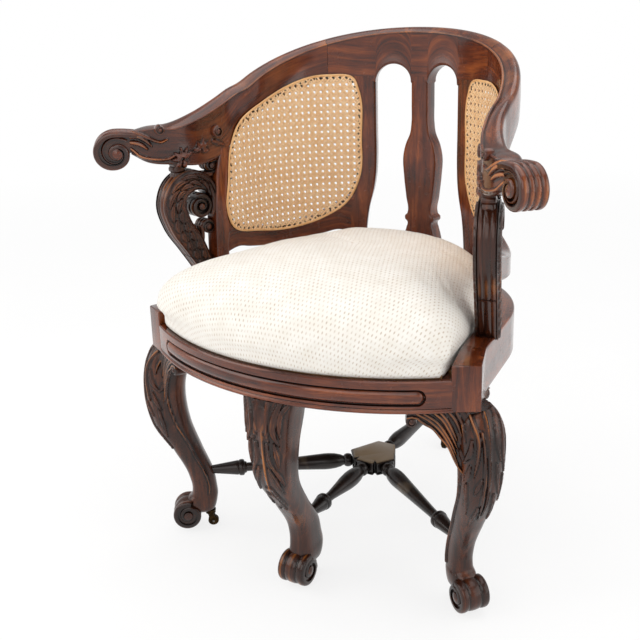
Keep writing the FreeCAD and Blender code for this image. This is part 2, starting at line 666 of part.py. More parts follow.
def turned_body(label, profile):
    """Body turned about its own X axis from (distance, radius) aliases of the sheet."""
    body = doc.addObject("PartDesign::Body", label)
    plane = next(f for f in body.Origin.OriginFeatures if f.Role == "XY_Plane")
    sketch = body.newObject("Sketcher::SketchObject", label + "_profile")
    sketch.AttachmentSupport = [(plane, "")]
    sketch.MapMode = "FlatFace"
    points = [V(size(d), size(r) if r else 0, 0) for d, r in profile]
    for index, point in enumerate(points):
        sketch.addGeometry(Part.LineSegment(point, points[(index + 1) % len(points)]))
    for index, (distance, radius) in enumerate(profile):
        before = (index - 1) % len(profile)
        sketch.addConstraint(Sketcher.Constraint("Coincident", before, 2, index, 1))
        place = sketch.addConstraint(Sketcher.Constraint("DistanceX", -1, 1, index, 1, points[index].x))
        sketch.setExpression("Constraints[%d]" % place, "Sizes." + distance)
        if radius:
            reach = sketch.addConstraint(Sketcher.Constraint("DistanceY", -1, 1, index, 1, points[index].y))
            sketch.setExpression("Constraints[%d]" % reach, "Sizes." + radius)
        else:
            sketch.addConstraint(Sketcher.Constraint("PointOnObject", index, 1, -1))
    turning = body.newObject("PartDesign::Revolution", label + "_turning")
    turning.Profile = sketch
    turning.ReferenceAxis = (sketch, ["H_Axis"])
    turning.Angle = 360
    body.Tip = turning
    return body


def stretcher(label, kind, angle):
    """Turned stretcher from the hub to a leg."""
    profile = [
        ("hub_tip", None), ("hub_tip", "tenon_radius"), ("hub_reach", "tenon_radius"),
        ("hub_reach", "stretcher_bead"), ("bead_end", "stretcher_bead"), ("swell_at", "stretcher_swell"),
        (kind + "_neck_at", "stretcher_neck"), (kind + "_neck_end", "stretcher_neck"),
        (kind + "_collar", "stretcher_collar"), (kind + "_cone_at", "stretcher_collar"),
        (kind + "_end", "tenon_radius"), (kind + "_end", None),
    ]
    body = turned_body(label, profile)
    turn = FreeCAD.Rotation(UP, angle - 90)
    body.Placement = FreeCAD.Placement(HUB + UP * size("stretcher_height"), turn)
    return keep(body, label)


# Back: crest, arms, splat, stiles, lower rails and cane

def crest_top(along):
    """Rise of the crest's top line, which falls away from its middle."""
    angle = math.degrees(abs(along) / size("back_radius"))
    return CREST_FOOT + size("crest_height") - size("crest_fall") * (angle / 60) ** 2.1


def rail_section(inner, outer, bottom, top):
    """Section of the crest or an arm: flat sides and underside, rounded top."""
    edge = top - size("crest_round")
    middle = (inner + outer) / 2
    corners = [inner + UP * bottom, inner + UP * edge, outer + UP * edge, outer + UP * bottom]
    edges = [Part.LineSegment(corners[0], corners[1]).toShape(),
             Part.Arc(corners[1], middle + UP * top, corners[2]).toShape(),
             Part.LineSegment(corners[2], corners[3]).toShape(),
             Part.LineSegment(corners[3], corners[0]).toShape()]
    return Part.Wire(edges)


def back_section(along, under):
    """Crest section at a distance along the back."""
    inner = back_frame(along, 0)[0]
    outer = back_frame(along, size("back_thickness"))[0]
    return rail_section(inner, outer, RAIL_TOP + under, RAIL_TOP + crest_top(along))


def slot_arch(side):
    """Cutter for the round head of a slot, in distance along the back and rise."""
    inner = size("splat_neck")
    outer = size("slot_half")
    radius = (outer - inner) / 2
    spring = (CREST_FOOT + size("slot_over")) - radius
    middle = (inner + outer) / 2
    low = spring - radius
    first = back_frame(side * inner, 0)[0]
    last = back_frame(side * outer, 0)[0]
    top = back_frame(side * middle, 0)[0]
    depth = V(0, 1, 0) * size("back_radius")
    lift = UP * RAIL_TOP
    head = V(top.x, first.y, 0) + lift + UP * (CREST_FOOT + size("slot_over"))
    far = V(last.x, first.y, 0) + lift + UP * spring
    edges = [Part.Arc(first + lift + UP * spring, head, far).toShape()]
    corners = [V(last.x, first.y, 0) + lift + UP * spring, V(last.x, first.y, 0) + lift + UP * low,
               first + lift + UP * low, first + lift + UP * spring]
    for start, end in zip(corners, corners[1:]):
        edges.append(Part.LineSegment(start, end).toShape())
    face = Part.Face(Part.Wire(edges))
    face.translate(depth * -0.5)
    return face.extrude(depth)


def crest_center():
    """Middle piece of the crest, hollowed by the heads of the two slots."""
    seam = math.radians(size("seam_angle")) * size("back_radius")
    sections = []
    half_steps = 6
    seam_foot = crest_top(seam) - size("seam_depth")
    for step in range(-half_steps, half_steps + 1):
        share = abs(step) / half_steps
        slope = max(0.0, (share - 0.7) / 0.3)
        under = CREST_FOOT + (seam_foot - CREST_FOOT) * slope
        sections.append(back_section(seam * step / half_steps, under))
    crest = Part.makeLoft(sections, True, False)
    return largest_solid(crest.cut([slot_arch(1), slot_arch(-1)]))


def volute():
    """Right volute as a plain drum across the end of the arm."""
    turn = math.radians(size("volute_turn"))
    axis = V(math.cos(turn), math.sin(turn), 0)
    rise = RAIL_TOP + CREST_FOOT - size("volute_drop")
    middle = flare_point(size("volute_ahead"), size("volute_out")) + UP * rise
    start = middle - axis * (size("volute_width") / 2)
    return Part.makeCylinder(size("volute_radius"), size("volute_width"), start, axis)


def between(rows):
    """Rows with one more between each pair, on a smooth curve through them."""
    result = [rows[0]]
    for index in range(len(rows) - 1):
        first, last = rows[index], rows[index + 1]
        before = rows[max(0, index - 1)]
        after = rows[min(len(rows) - 1, index + 2)]
        middle = []
        for a, b, c, d in zip(before, first, last, after):
            middle.append((9 * (b + c) - a - d) / 16)
        result.extend([middle, last])
    return result


def arm():
    """Right arm, from the crest's seam to its volute."""
    seam = math.radians(size("seam_angle")) * size("back_radius")
    stops = [(seam, size("seam_depth"))]
    for number, row in enumerate(ARM_ON_BACK, start=1):
        along = seam + (FLARE_ALONG - seam) * number / len(ARM_ON_BACK)
        stops.append((along, size(row[0] + "_depth")))
    sections = []
    for first, last in zip(stops, stops[1:]):
        for share in (0, 0.5):
            along = first[0] + (last[0] - first[0]) * share
            depth = first[1] + (last[1] - first[1]) * share
            sections.append(back_section(along, crest_top(along) - depth))
    sections.append(back_section(stops[-1][0], crest_top(stops[-1][0]) - stops[-1][1]))
    keys = ("_ahead", "_out", "_heading", "_width", "_under", "_top")
    rows = [[size(row[0] + key) for key in keys] for row in ARM_FREE]
    for row in between(rows):
        turn = math.radians(row[2])
        outward = V(math.cos(turn), math.sin(turn), 0) * (row[3] / 2)
        middle = flare_point(row[0], row[1])
        foot = RAIL_TOP + CREST_FOOT
        sections.append(rail_section(middle - outward, middle + outward, foot - row[4], foot - row[5]))
    return Part.makeLoft(sections, True, False).fuse(volute()).removeSplitter()


def splat():
    """Vase splat between the rails and the crest."""
    neck = size("splat_neck")
    shoulder = size("splat_shoulder")
    waist = size("splat_waist")
    bead = size("splat_bead")
    top = CREST_FOOT
    right = [
        [(neck, top), (neck, top * 0.77)],
        [(neck, top * 0.77), (neck * 1.12, top * 0.715), (shoulder * 0.8, top * 0.66),
         (shoulder, top * 0.605)],
        [(shoulder, top * 0.605), (shoulder * 0.97, top * 0.45), (waist, top * 0.3)],
        [(waist, top * 0.3), (bead, top * 0.285)],
        [(bead, top * 0.285), (bead, top * 0.26)],
        [(bead, top * 0.26), (waist, top * 0.245)],
        [(waist, top * 0.245), (size("splat_foot") * 0.87, top * 0.17), (size("splat_foot"), 0)],
    ]
    left = [[(-a, r) for a, r in reversed(chain)] for chain in reversed(right)]
    foot = [[(size("splat_foot"), 0), (-size("splat_foot"), 0)]]
    head = [[(-neck, top), (neck, top)]]
    wide = max(shoulder, size("splat_foot")) + 4
    set_in = size("crest_set_in")
    return back_outline(right + foot + left + head, -wide, wide, set_in, size("back_thickness") - set_in)


def inner_stile(crest):
    """Right inner stile between the rail and the crest."""
    high = size("slot_half")
    low = size("slot_foot_half")
    wide = size("stile_width")
    top = CREST_FOOT
    over = top + size("crest_set_in") * 5
    step = low - high
    slot_edge = [(high, top * 0.57), (high + step * 0.1, top * 0.45), (high + step * 0.65, top * 0.32),
                 (high + step * 0.95, top * 0.18), (low, 0)]
    cane_edge = [(low + wide, 0), (low + wide * 0.94, top * 0.33), (high + wide * 1.22, top * 0.42),
                 (high + wide, top * 0.57)]
    corner = [(high + wide, top * 0.91), (high + wide * 1.12, top * 0.97), (high + wide * 1.5, over)]
    chains = [[(high, over), slot_edge[0]], slot_edge, [slot_edge[-1], cane_edge[0]], cane_edge,
              [cane_edge[-1], corner[0]], corner, [corner[-1], (high, over)]]
    set_in = size("crest_set_in")
    stile = back_outline(chains, high - 3, low + wide + 3, set_in, size("back_thickness") - set_in)
    return largest_solid(stile.cut(crest))


def outer_stile(arm_shape):
    """Right outer stile between the rail and the arm."""
    outer = FLARE_ALONG + size("outer_stile_end")
    inner = outer - size("outer_stile_width")
    over = CREST_FOOT - size("arm_elbow_under") + size("crest_round") / 2
    places = cane_places()
    mid_along, mid = places["cane_outer_mid"]
    heel = places["cane_foot"][1]
    lap = size("cane_overlap")
    cane_edge = [(inner - lap * 1.4, over), (mid_along - lap, mid * 0.86),
                 (inner - lap * 0.5, (mid + heel) / 2 - lap * 2.4), (inner, heel)]
    front_edge = [(outer, 0), (outer - 1, mid * 0.5), (outer - lap * 1.2, mid * 1.1), (outer - lap * 3, over)]
    chains = [cane_edge, [(inner, heel), (inner, 0)], [(inner, 0), (outer, 0)], front_edge,
              [front_edge[-1], cane_edge[0]]]
    stile = back_outline(chains, inner - lap * 3, outer + 3, 0, size("back_thickness"))
    return largest_solid(stile.cut(arm_shape))


def cane_places():
    """Cane outline by name: distance along the back and rise over the rail."""
    places = {}
    for name, along_from, along, height_from, height in CANE:
        start = FLARE_ALONG if along_from == "flare" else 0
        rise = size(name + "_" + height_from)
        if height_from == "drop":
            rise = CREST_FOOT - rise
        places[name] = (start + size(name + "_along"), rise)
    return places


def lower_rail(stiles):
    """Right lower rail, between the stiles and under the cane."""
    floor = size("lower_rail_rise")
    lap = size("cane_overlap")
    inner = size("slot_foot_half") + size("stile_width") / 2
    outer = FLARE_ALONG + size("outer_stile_end") - size("outer_stile_width") / 2
    span = outer - inner
    names = ("cane_toe", "cane_rise", "cane_floor", "cane_foot", "cane_heel")
    places = cane_places()
    top = [(places[n][0], places[n][1] + lap) for n in names]
    top = [(inner, top[0][1] + lap)] + top + [(outer, top[-1][1] + lap)]
    under = [(outer, floor + 4), (outer - span * 0.16, floor + 13), (outer - span * 0.42, floor),
             (inner + span * 0.38, floor), (inner + span * 0.12, floor + 12), (inner, floor + 4)]
    chains = [top, [top[-1], under[0]], under, [under[-1], top[0]]]
    set_in = size("crest_set_in")
    rail = back_outline(chains, inner - 3, outer + 3, set_in, size("back_thickness") - set_in)
    return largest_solid(rail.cut(stiles))


def within(along, rise, loop):
    """Whether a place lies inside a closed outline of (along, rise) points."""
    held = False
    for (a, b), (c, d) in zip(loop, loop[1:] + loop[:1]):
        if (b > rise) != (d > rise) and along < a + (rise - b) * (c - a) / (d - b):
            held = not held
    return held


def cane_holes(loop):
    """Grid of round openings, clear of the panel's edge, that stands for the open weave."""
    radius = size("cane_hole_radius")
    pitch = size("cane_hole_pitch")
    reach = radius + size("cane_hole_margin")
    length = size("back_thickness")
    lowest = min(rise for along, rise in loop)
    highest = max(rise for along, rise in loop)
    first = min(along for along, rise in loop)
    last = max(along for along, rise in loop)
    holes = []
    for row in range(1, int((highest - lowest) / pitch) + 1):
        for column in range(1, int((last - first) / pitch) + 1):
            along = first + column * pitch
            rise = lowest + row * pitch
            ring = [(along + reach * math.cos(turn), rise + reach * math.sin(turn)) for turn in range(6)]
            if all(within(a, r, loop) for a, r in ring):
                place, normal = back_frame(along, -length / 2)
                holes.append(Part.makeCylinder(radius, length, place + UP * (RAIL_TOP + rise), normal))
    return holes


def cane_panel(arm_shape):
    """Right cane panel on the inner face of its frame."""
    points = list(cane_places().values())
    chains = [points[0:3], points[2:5], points[4:6], points[5:10], points[9:12], points[11:15],
              [points[14], points[0]]]
    face = -size("cane_gap")
    lap = size("cane_overlap")
    start = min(along for along, rise in points) - lap
    end = max(along for along, rise in points) + lap
    panel = back_outline(chains, start, end, face - size("cane_thickness"), face)
    return largest_solid(panel.cut([arm_shape] + cane_holes(points)))


# Arm posts

def post_point(along, rise, outward):
    """Place on the right arm post."""
    turn = math.radians(size("post_turn"))
    ahead = V(math.sin(turn), -math.cos(turn), 0)
    normal = V(math.cos(turn), math.sin(turn), 0)
    foot = flare_point(size("post_ahead"), -size("post_in")) + UP * RAIL_TOP
    return foot + ahead * along + UP * rise + normal * outward


def post_drum(name):
    """Round scroll of the post as a plain drum."""
    start = post_point(size(name + "_along"), ARM_UNDER - size(name + "_drop"), 0)
    normal = post_point(0, 0, 1) - post_point(0, 0, 0)
    return Part.makeCylinder(size(name + "_radius"), size("post_thickness"), start, normal)


def arm_post(neighbours):
    """Right openwork arm post: a scroll band and its drums, cut to the wood around it."""
    rows = [(size("post_foot_along"), 0, size("post_foot_width"))]
    for row in POST_BAND:
        name = row[0]
        rows.append((size(name + "_along"), ARM_UNDER - size(name + "_drop"), size(name + "_width")))
    left = []
    right = []
    for index, (along, rise, width) in enumerate(rows):
        before = rows[max(0, index - 1)]
        after = rows[min(len(rows) - 1, index + 1)]
        run = math.hypot(after[0] - before[0], after[1] - before[1])
        step = ((after[0] - before[0]) / run, (after[1] - before[1]) / run)
        if index == 0:
            step = (0, 1)
        left.append(post_point(along - step[1] * width / 2, rise + step[0] * width / 2, 0))
        right.append(post_point(along + step[1] * width / 2, rise - step[0] * width / 2, 0))
    face = outline_face([left, [left[-1], right[-1]], right[::-1], [right[0], left[0]]])
    normal = post_point(0, 0, 1) - post_point(0, 0, 0)
    band = face.extrude(normal * size("post_thickness"))
    top_along = size("post_shoulder_along") - size("post_shoulder_width") / 3
    low = ARM_UNDER - size("post_top_drop")
    high = ARM_UNDER + 4
    edge = size("post_thickness") * 0.15
    far_along = top_along + size("post_neck_width")
    corners = [post_point(a, r, edge) for a, r in ((top_along, low), (far_along, low), (far_along, high),
                                                   (top_along, high))]
    block = Part.Face(Part.makePolygon(corners + corners[:1]))
    block = block.extrude(normal * (size("post_thickness") - 2 * edge))
    drums = [post_drum(name) for name in ("post_eye", "post_curl", "post_bracket")]
    whole = band.fuse([block] + drums).removeSplitter()
    return largest_solid(whole.cut(neighbours))


# Lift-out seat

def line_circle(point, direction, centre, radius, pick):
    """Crossing of a plan line and a circle, the first or last along the line."""
    start = point - centre
    half = start.dot(direction)
    root = math.sqrt(half * half - start.dot(start) + radius * radius)
    return point + direction * (-half + pick * root)


def seat_wire(inset, height):
    """Plan outline of the seat drawn in by an inset."""
    front_radius = size("bow_radius") - size("seat_front_margin") - inset
    back_radius = size("back_radius") - size("seat_back_gap") - inset
    back_outer, back_inner, front_inner, front_outer = block_corners()
    ahead = (front_inner - back_inner).normalize()
    flare = V(math.cos(FLARE), -math.sin(FLARE), 0)
    ahead = (ahead + flare * 3).normalize()
    outward = V(-ahead.y, ahead.x, 0)
    base = back_inner - outward * (size("seat_side_gap") + inset)
    front = line_circle(base, ahead, BOW_MIDDLE, front_radius, 1)
    away = (base - BACK_MIDDLE).dot(outward)
    if away < back_radius:
        back = line_circle(base, ahead, BACK_MIDDLE, back_radius, -1)
    else:
        back = BACK_MIDDLE + outward * back_radius
    lift = UP * height
    flip = [V(-p.x, p.y, 0) for p in (front, back)]
    tail = BACK_MIDDLE + V(0, back_radius, 0)
    nose = BOW_MIDDLE - V(0, front_radius, 0)
    middle = (back - BACK_MIDDLE).normalize() + V(0, 1, 0)
    side = BACK_MIDDLE + middle.normalize() * back_radius
    other = V(-side.x, side.y, 0)
    edges = [Part.Arc(flip[0] + lift, nose + lift, front + lift).toShape(),
             Part.LineSegment(front + lift, back + lift).toShape(),
             Part.Arc(back + lift, side + lift, tail + lift).toShape(),
             Part.Arc(tail + lift, other + lift, flip[1] + lift).toShape(),
             Part.LineSegment(flip[1] + lift, flip[0] + lift).toShape()]
    return Part.Wire(edges)


def seat_prism(inset, bottom, height):
    return Part.Face(seat_wire(inset, bottom)).extrude(UP * height)


# Domed profile of the seat: share of the crown's height and of the back's radius
SEAT_DOME = [(0.08, 0), (0.4, 0.02), (0.62, 0.09), (0.83, 0.26), (0.94, 0.47), (1, 0.75)]
SEAT_FOOT = SEAT_LEDGE + size("seat_rest")
FRAME_TOP = SEAT_FOOT + size("seat_frame_height")
STUFFING_FOOT = FRAME_TOP + 2 * size("strap_thickness")


def seat_dome(foot, inset, drop):
    """Domed solid from a foot level, drawn in and lowered."""
    sections = [seat_wire(inset, foot)]
    for share, narrow in SEAT_DOME:
        height = RAIL_TOP + share * size("seat_crown") - drop
        if height > foot + 4:
            sections.append(seat_wire(inset + narrow * size("back_radius"), height))
    return Part.makeLoft(sections, True, False)


def seat_parts():
    """Frame, webbing, stuffing, cover and dust cover of the lift-out seat."""
    skirt = size("seat_skirt")
    wide = size("seat_frame_width")
    thick = size("dust_cover_thickness")
    lap = skirt + wide - size("dust_cover_overlap")
    dust = seat_prism(lap, SEAT_FOOT + thick, thick)
    frame = seat_prism(skirt, SEAT_FOOT, size("seat_frame_height"))
    frame = frame.cut(seat_prism(skirt + wide, SEAT_FOOT - 1, size("seat_frame_height") + 2))
    frame = frame.cut(seat_prism(lap, SEAT_FOOT - thick, 3 * thick))
    straps = []
    reach = seat_prism(skirt + wide / 2, FRAME_TOP - 1, 4 + 2 * size("strap_thickness"))
    half = size("strap_width") / 2
    long = 2 * size("bow_radius")
    for index in (-2, -1, 0, 1, 2):
        across = index * size("strap_pitch") - half
        corner = V(across, BACK_MIDDLE.y - size("bow_radius"), FRAME_TOP)
        strap = Part.makeBox(size("strap_width"), long, size("strap_thickness"), corner)
        straps.append(strap.common(reach))
    for index in (-2, -1, 0, 1, 2):
        away = BACK_MIDDLE.y + index * size("strap_pitch") - half
        corner = V(-size("bow_radius"), away, FRAME_TOP + size("strap_thickness"))
        strap = Part.makeBox(long, size("strap_width"), size("strap_thickness"), corner)
        straps.append(strap.common(reach))
    thin = size("cover_thickness")
    stuffing = seat_dome(STUFFING_FOOT, thin, thin)
    outer = seat_dome(SEAT_FOOT + thick, 0, 0)
    pocket = seat_prism(skirt, SEAT_FOOT - 1, STUFFING_FOOT - SEAT_FOOT + 1)
    cover = outer.cut([stuffing, pocket])
    solids = [solid for strap in straps for solid in strap.Solids]
    return frame, Part.makeCompound(solids), stuffing, largest_solid(cover), dust


# Glue blocks and their screws

def screw(start, direction):
    """Countersunk screw and the bore that lets its head in."""
    radius = size("screw_radius")
    head = size("screw_head")
    shank = Part.makeCylinder(radius, size("screw_length"), start, direction)
    cone = Part.makeCone(head, radius, head - radius, start, direction)
    bore = Part.makeCylinder(head, 3 * head, start - direction * (3 * head), direction)
    return shank.fuse(cone).removeSplitter(), bore


def glue_block():
    """Right glue block before it is cut to the rails, with its two screws and bores."""
    back_outer, back_inner, front_inner, front_outer = block_corners()
    side = (back_inner - front_inner).normalize()
    inner = size("bow_radius") - size("bow_thickness")
    corner = line_circle(front_inner, side, BOW_MIDDLE, inner, -1)
    reach = size("glue_block_reach")
    radial = (corner - BOW_MIDDLE).normalize()
    along = V(radial.y, -radial.x, 0)
    if along.x > 0:
        along = along * -1
    ahead = corner + along * reach
    behind = corner + side * reach
    spare = size("rail_thickness") / 2
    outside = corner + radial * spare - along * spare
    points = [ahead + radial * spare, ahead, behind, behind - along * spare, outside]
    bottom = SEAT_LEDGE - size("glue_block_height")
    block = polygon_prism(points, bottom, size("glue_block_height"))
    level = UP * (bottom + size("glue_block_height") / 2)
    inward = V(-side.y, side.x, 0)
    if inward.x < 0:
        inward = inward * -1
    first = ahead + (behind - ahead) * 0.36
    second = ahead + (behind - ahead) * 0.7
    low = screw(first + radial * 5 + level - UP * 8, radial)
    pairs = [low, screw(second + inward * 5 + level + UP * 8, inward)]
    return block, [p[0] for p in pairs], [p[1] for p in pairs]


def back_block():
    """Glue block behind the seat where the side rails meet, with its screws and bores."""
    face = size("rail_step") - size("rail_thickness")
    bottom = SEAT_LEDGE - size("glue_block_height")
    half = size("glue_block_reach")
    block = back_wall(-half, half, face - size("back_block_depth"), face, bottom, size("glue_block_height"))
    level = UP * (bottom + size("glue_block_height") / 2)
    pairs = []
    for along in (-half / 2, half / 2):
        start, normal = back_frame(along, face - size("back_block_depth") + 5)
        pairs.append(screw(start + level, normal))
    return block, [p[0] for p in pairs], [p[1] for p in pairs]


# Dowels

def dowel(name, place, direction):
    """Round peg bound to the sheet, centred on a place."""
    peg = doc.addObject("Part::Cylinder", name)
    peg.setExpression("Radius", "Sizes.dowel_radius")
    peg.setExpression("Height", "Sizes.dowel_length")
    turn = FreeCAD.Rotation(UP, direction)
    peg.Placement = FreeCAD.Placement(place - direction * (size("dowel_length") / 2), turn)
    return peg


def peg_group(label, pegs):
    """Pegs of one kind kept together as one sub-part of separate solids."""
    group = doc.addObject("Part::Compound", label)
    group.Links = pegs
    return keep(group, label)


def leg_pegs():
    """Two pegs at the top of the front leg and two at the top of the back leg."""
    spread = size("dowel_spread") / 2
    ahead = size("bow_reach") - size("bow_thickness") / 2
    behind = (size("back_top_front") + size("back_top_back")) / 2
    pegs = []
    for name, away in (("front_peg", -ahead), ("back_peg", behind)):
        for side in (-1, 1):
            place = HUB + V(side * spread, away, size("rail_bottom"))
            pegs.append(dowel(name, place, UP))
    return pegs


def seam_pegs():
    """One peg across each seam of the crest."""
    seam = math.radians(size("seam_angle")) * size("back_radius")
    level = RAIL_TOP + crest_top(seam) - size("seam_depth") / 2
    pegs = []
    for side in (-1, 1):
        place, normal = back_frame(side * seam, size("back_thickness") / 2)
        pegs.append(dowel("seam_peg", place + UP * level, V(normal.y, -normal.x, 0)))
    return pegs


# Casters, built facing ahead and then turned into place

CROWN_FOOT = 2 * size("wheel_radius") + size("crown_gap")
CROWN_TOP = CROWN_FOOT + size("crown_thickness")
PLATE_FOOT = CROWN_TOP + size("swivel_gap")


def caster_plate(inset):
    """Plate with its riveted pivot pin."""
    place = V(0, inset - CASTER_REACH, 0)
    plate = Part.makeCylinder(size("plate_radius"), size("plate_thickness"), place + UP * PLATE_FOOT)
    head_top = CROWN_FOOT - size("swivel_gap")
    head_foot = head_top - size("pivot_head_height")
    pin = Part.makeCylinder(size("pivot_radius"), PLATE_FOOT - head_foot, place + UP * head_foot)
    head = Part.makeCylinder(size("pivot_head"), size("pivot_head_height"), place + UP * head_foot)
    return plate.fuse([pin, head]).removeSplitter()


def plate_screws(inset):
    """Three screws through a caster plate into the heel."""
    screws = []
    for index in range(3):
        turn = math.radians(120 * index)
        place = V(math.sin(turn), math.cos(turn), 0) * size("plate_screw_circle")
        place = place + V(0, inset - CASTER_REACH, PLATE_FOOT)
        screws.append(Part.makeCylinder(size("plate_screw_radius"), size("plate_screw_length"), place))
    return screws


def caster_fork(inset):
    """Crown and two cheeks, bored for the pivot and the axle."""
    place = V(0, inset - CASTER_REACH, 0)
    crown = Part.makeCylinder(size("crown_radius"), size("crown_thickness"), place + UP * CROWN_FOOT)
    near = size("wheel_width") / 2 + size("wheel_gap")
    thick = size("cheek_thickness")
    axle = place + V(0, size("caster_trail"), size("wheel_radius"))
    reach = size("cheek_radius")
    cheeks = []
    for start in (near, -near - thick):
        shift = V(start, 0, 0)
        drum = Part.makeCylinder(reach, thick, axle + shift, V(1, 0, 0))
        corners = [axle + V(0, reach, 0), place + V(0, reach, CROWN_FOOT + 1),
                   place + V(0, -reach, CROWN_FOOT + 1), axle - V(0, reach, 0)]
        corners = [c + shift for c in corners]
        web = Part.Face(Part.makePolygon(corners + corners[:1])).extrude(V(thick, 0, 0))
        cheeks.extend([drum, web])
    fork = crown.fuse(cheeks).removeSplitter()
    pivot = Part.makeCylinder(size("pivot_radius") + size("running_fit"), 4 * size("crown_thickness"),
                              place + UP * (CROWN_FOOT - size("crown_thickness")))
    bore = Part.makeCylinder(size("axle_radius"), 4 * near, axle - V(2 * near, 0, 0), V(1, 0, 0))
    return fork.cut([pivot, bore])


def caster_turning(angle, inset, local, spin):
    """Placement of a caster piece given in the frame of a leg that faces ahead."""
    place = FreeCAD.Placement(V(0, inset - CASTER_REACH, 0) + local, spin)
    return FreeCAD.Placement(HUB, FreeCAD.Rotation(UP, angle)).multiply(place)


def caster_axle(label, angle, inset):
    """Axle pin bound to the sheet."""
    axle = doc.addObject("Part::Cylinder", label)
    axle.setExpression("Radius", "Sizes.axle_radius")
    axle.setExpression("Height", "Sizes.axle_length")
    local = V(-size("axle_length") / 2, size("caster_trail"), size("wheel_radius"))
    axle.Placement = caster_turning(angle, inset, local, FreeCAD.Rotation(UP, V(1, 0, 0)))
    return keep(axle, label)


def caster_wheel(label, angle, inset):
    """Wheel turned from the sheet's sizes."""
    profile = [
        ("wheel_start", "wheel_bore"), ("wheel_start", "wheel_shoulder"), ("wheel_tread_at", "wheel_radius"),
        ("wheel_tread_end", "wheel_radius"), ("wheel_stop", "wheel_shoulder"), ("wheel_stop", "wheel_bore"),
    ]
    body = turned_body(label, profile)
    shift = size("wheel_start") + size("wheel_width") / 2
    local = V(-shift, size("caster_trail"), size("wheel_radius"))
    body.Placement = caster_turning(angle, inset, local, FreeCAD.Rotation())
    return keep(body, label)


# Assembly: wood pieces are cut to the pegs, screws and tenons they take

LEGS = [
    ("left", -CORNER_ANGLE, size("corner_inset"), "corner"),
    ("right", CORNER_ANGLE, size("corner_inset"), "corner"),
    ("front", 0, size("front_leg_inset"), "front"),
    ("back", 180, 0, "back"),
]


def build():
    """Make every sub-part."""
    rods = {name: stretcher("stretcher_" + name, kind, angle) for name, angle, inset, kind in LEGS}
    leg_group = leg_pegs()
    seam_group = seam_pegs()
    peg_group("leg_dowels", leg_group)
    peg_group("crest_dowels", seam_group)
    doc.recompute()
    tenons = {name: rod.Shape.copy() for name, rod in rods.items()}
    leg_cuts = [peg.Shape.copy() for peg in leg_group]
    seam_cuts = [peg.Shape.copy() for peg in seam_group]

    corner, corner_screws, corner_bores = glue_block()
    middle, middle_screws, middle_bores = back_block()
    all_screws = corner_screws + [mirrored(s) for s in corner_screws] + middle_screws
    plates = {name: [turned(s, angle) for s in plate_screws(inset)] for name, angle, inset, kind in LEGS}

    right_leg = corner_leg()
    front_top = (size("front_top_front"), size("front_top_back"), size("front_top_width"))
    front_leg = turned(leg_body(FRONT_FOOT + FRONT_CABRIOLE, front_top, size("front_leg_inset")), 0)
    back_top = (size("back_top_front"), size("back_top_back"), size("back_top_width"))
    back_leg = turned(leg_body(BACK_FOOT + RAKED, back_top, 0), 180)
    wood_legs = {"left": mirrored(right_leg), "right": right_leg, "front": front_leg, "back": back_leg}
    rail = front_rail()
    wood_legs["front"] = wood_legs["front"].cut(rail)
    right_rail = side_rail()
    for name, shape in wood_legs.items():
        cuts = [tenons[name]] + plates[name] + leg_cuts + all_screws
        feature("leg_" + name, largest_solid(shape.cut(cuts)))
    both_legs = [wood_legs["left"], wood_legs["right"]]
    feature("front_rail", largest_solid(rail.cut(both_legs + leg_cuts + all_screws)))
    feature("side_rail_right", largest_solid(right_rail.cut([right_leg] + leg_cuts + all_screws)))
    feature("side_rail_left", largest_solid(mirrored(right_rail).cut(both_legs + leg_cuts + all_screws)))
    corner = largest_solid(corner.cut([rail, right_leg, right_rail]))
    feature("glue_block_right", largest_solid(corner.cut(corner_screws + corner_bores)))
    feature("glue_block_left", mirrored(largest_solid(corner.cut(corner_screws + corner_bores))))
    feature("glue_block_back", largest_solid(middle.cut(middle_screws + middle_bores + leg_cuts)))
    feature("block_screws", Part.makeCompound(all_screws))

    level = size("stretcher_height") - size("hub_thickness") / 2
    hub = polygon_prism(hub_points(), level, size("hub_thickness"))
    feature("stretcher_hub", largest_solid(hub.cut(list(tenons.values()))))

    crest = crest_center()
    right_arm = arm()
    feature("crest_center", largest_solid(crest.cut(seam_cuts)))
    feature("arm_right", largest_solid(right_arm.cut(seam_cuts)))
    feature("arm_left", largest_solid(mirrored(right_arm).cut(seam_cuts)))
    feature("splat", largest_solid(splat().cut(crest)))
    stile = inner_stile(crest)
    post_stile = outer_stile(right_arm)
    post = arm_post([right_arm, post_stile])
    low = lower_rail([stile, post_stile])
    cane = cane_panel(right_arm)
    pairs = [("inner_stile", stile), ("outer_stile", post_stile), ("arm_post", post),
             ("lower_rail", low), ("cane_panel", cane)]
    for label, shape in pairs:
        feature(label + "_right", shape)
        feature(label + "_left", mirrored(shape))

    names = ("seat_frame", "seat_webbing", "seat_stuffing", "seat_cover", "seat_dust_cover")
    for label, shape in zip(names, seat_parts()):
        feature(label, shape)

    for name, angle, inset, kind in LEGS:
        plate = turned(caster_plate(inset), angle)
        feature("caster_plate_" + name, plate.cut(plates[name]))
        feature("caster_fork_" + name, turned(caster_fork(inset), angle))
        caster_axle("caster_axle_" + name, angle, inset)
        caster_wheel("caster_wheel_" + name, angle, inset)
    feature("caster_screws", Part.makeCompound([s for group in plates.values() for s in group]))
    doc.recompute()


def check():
    """Stop before anything is written if an object is broken."""
    for obj in doc.Objects:
        if "Invalid" in obj.State or "Error" in obj.State:
            raise RuntimeError("broken object: " + obj.Label)
    for obj in nodes:
        if obj.Shape.isNull() or not obj.Shape.isValid() or not obj.Shape.Solids:
            raise RuntimeError("bad shape: " + obj.Label)


def write():
    """One STEP file for each sub-part."""
    os.makedirs("parts", exist_ok=True)
    for obj in nodes:
        obj.Shape.exportStep("parts/" + obj.Label + ".step")


build()
check()
write()
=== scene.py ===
import math

import bmesh
import bpy
import numpy as np
from mathutils import Matrix, Vector


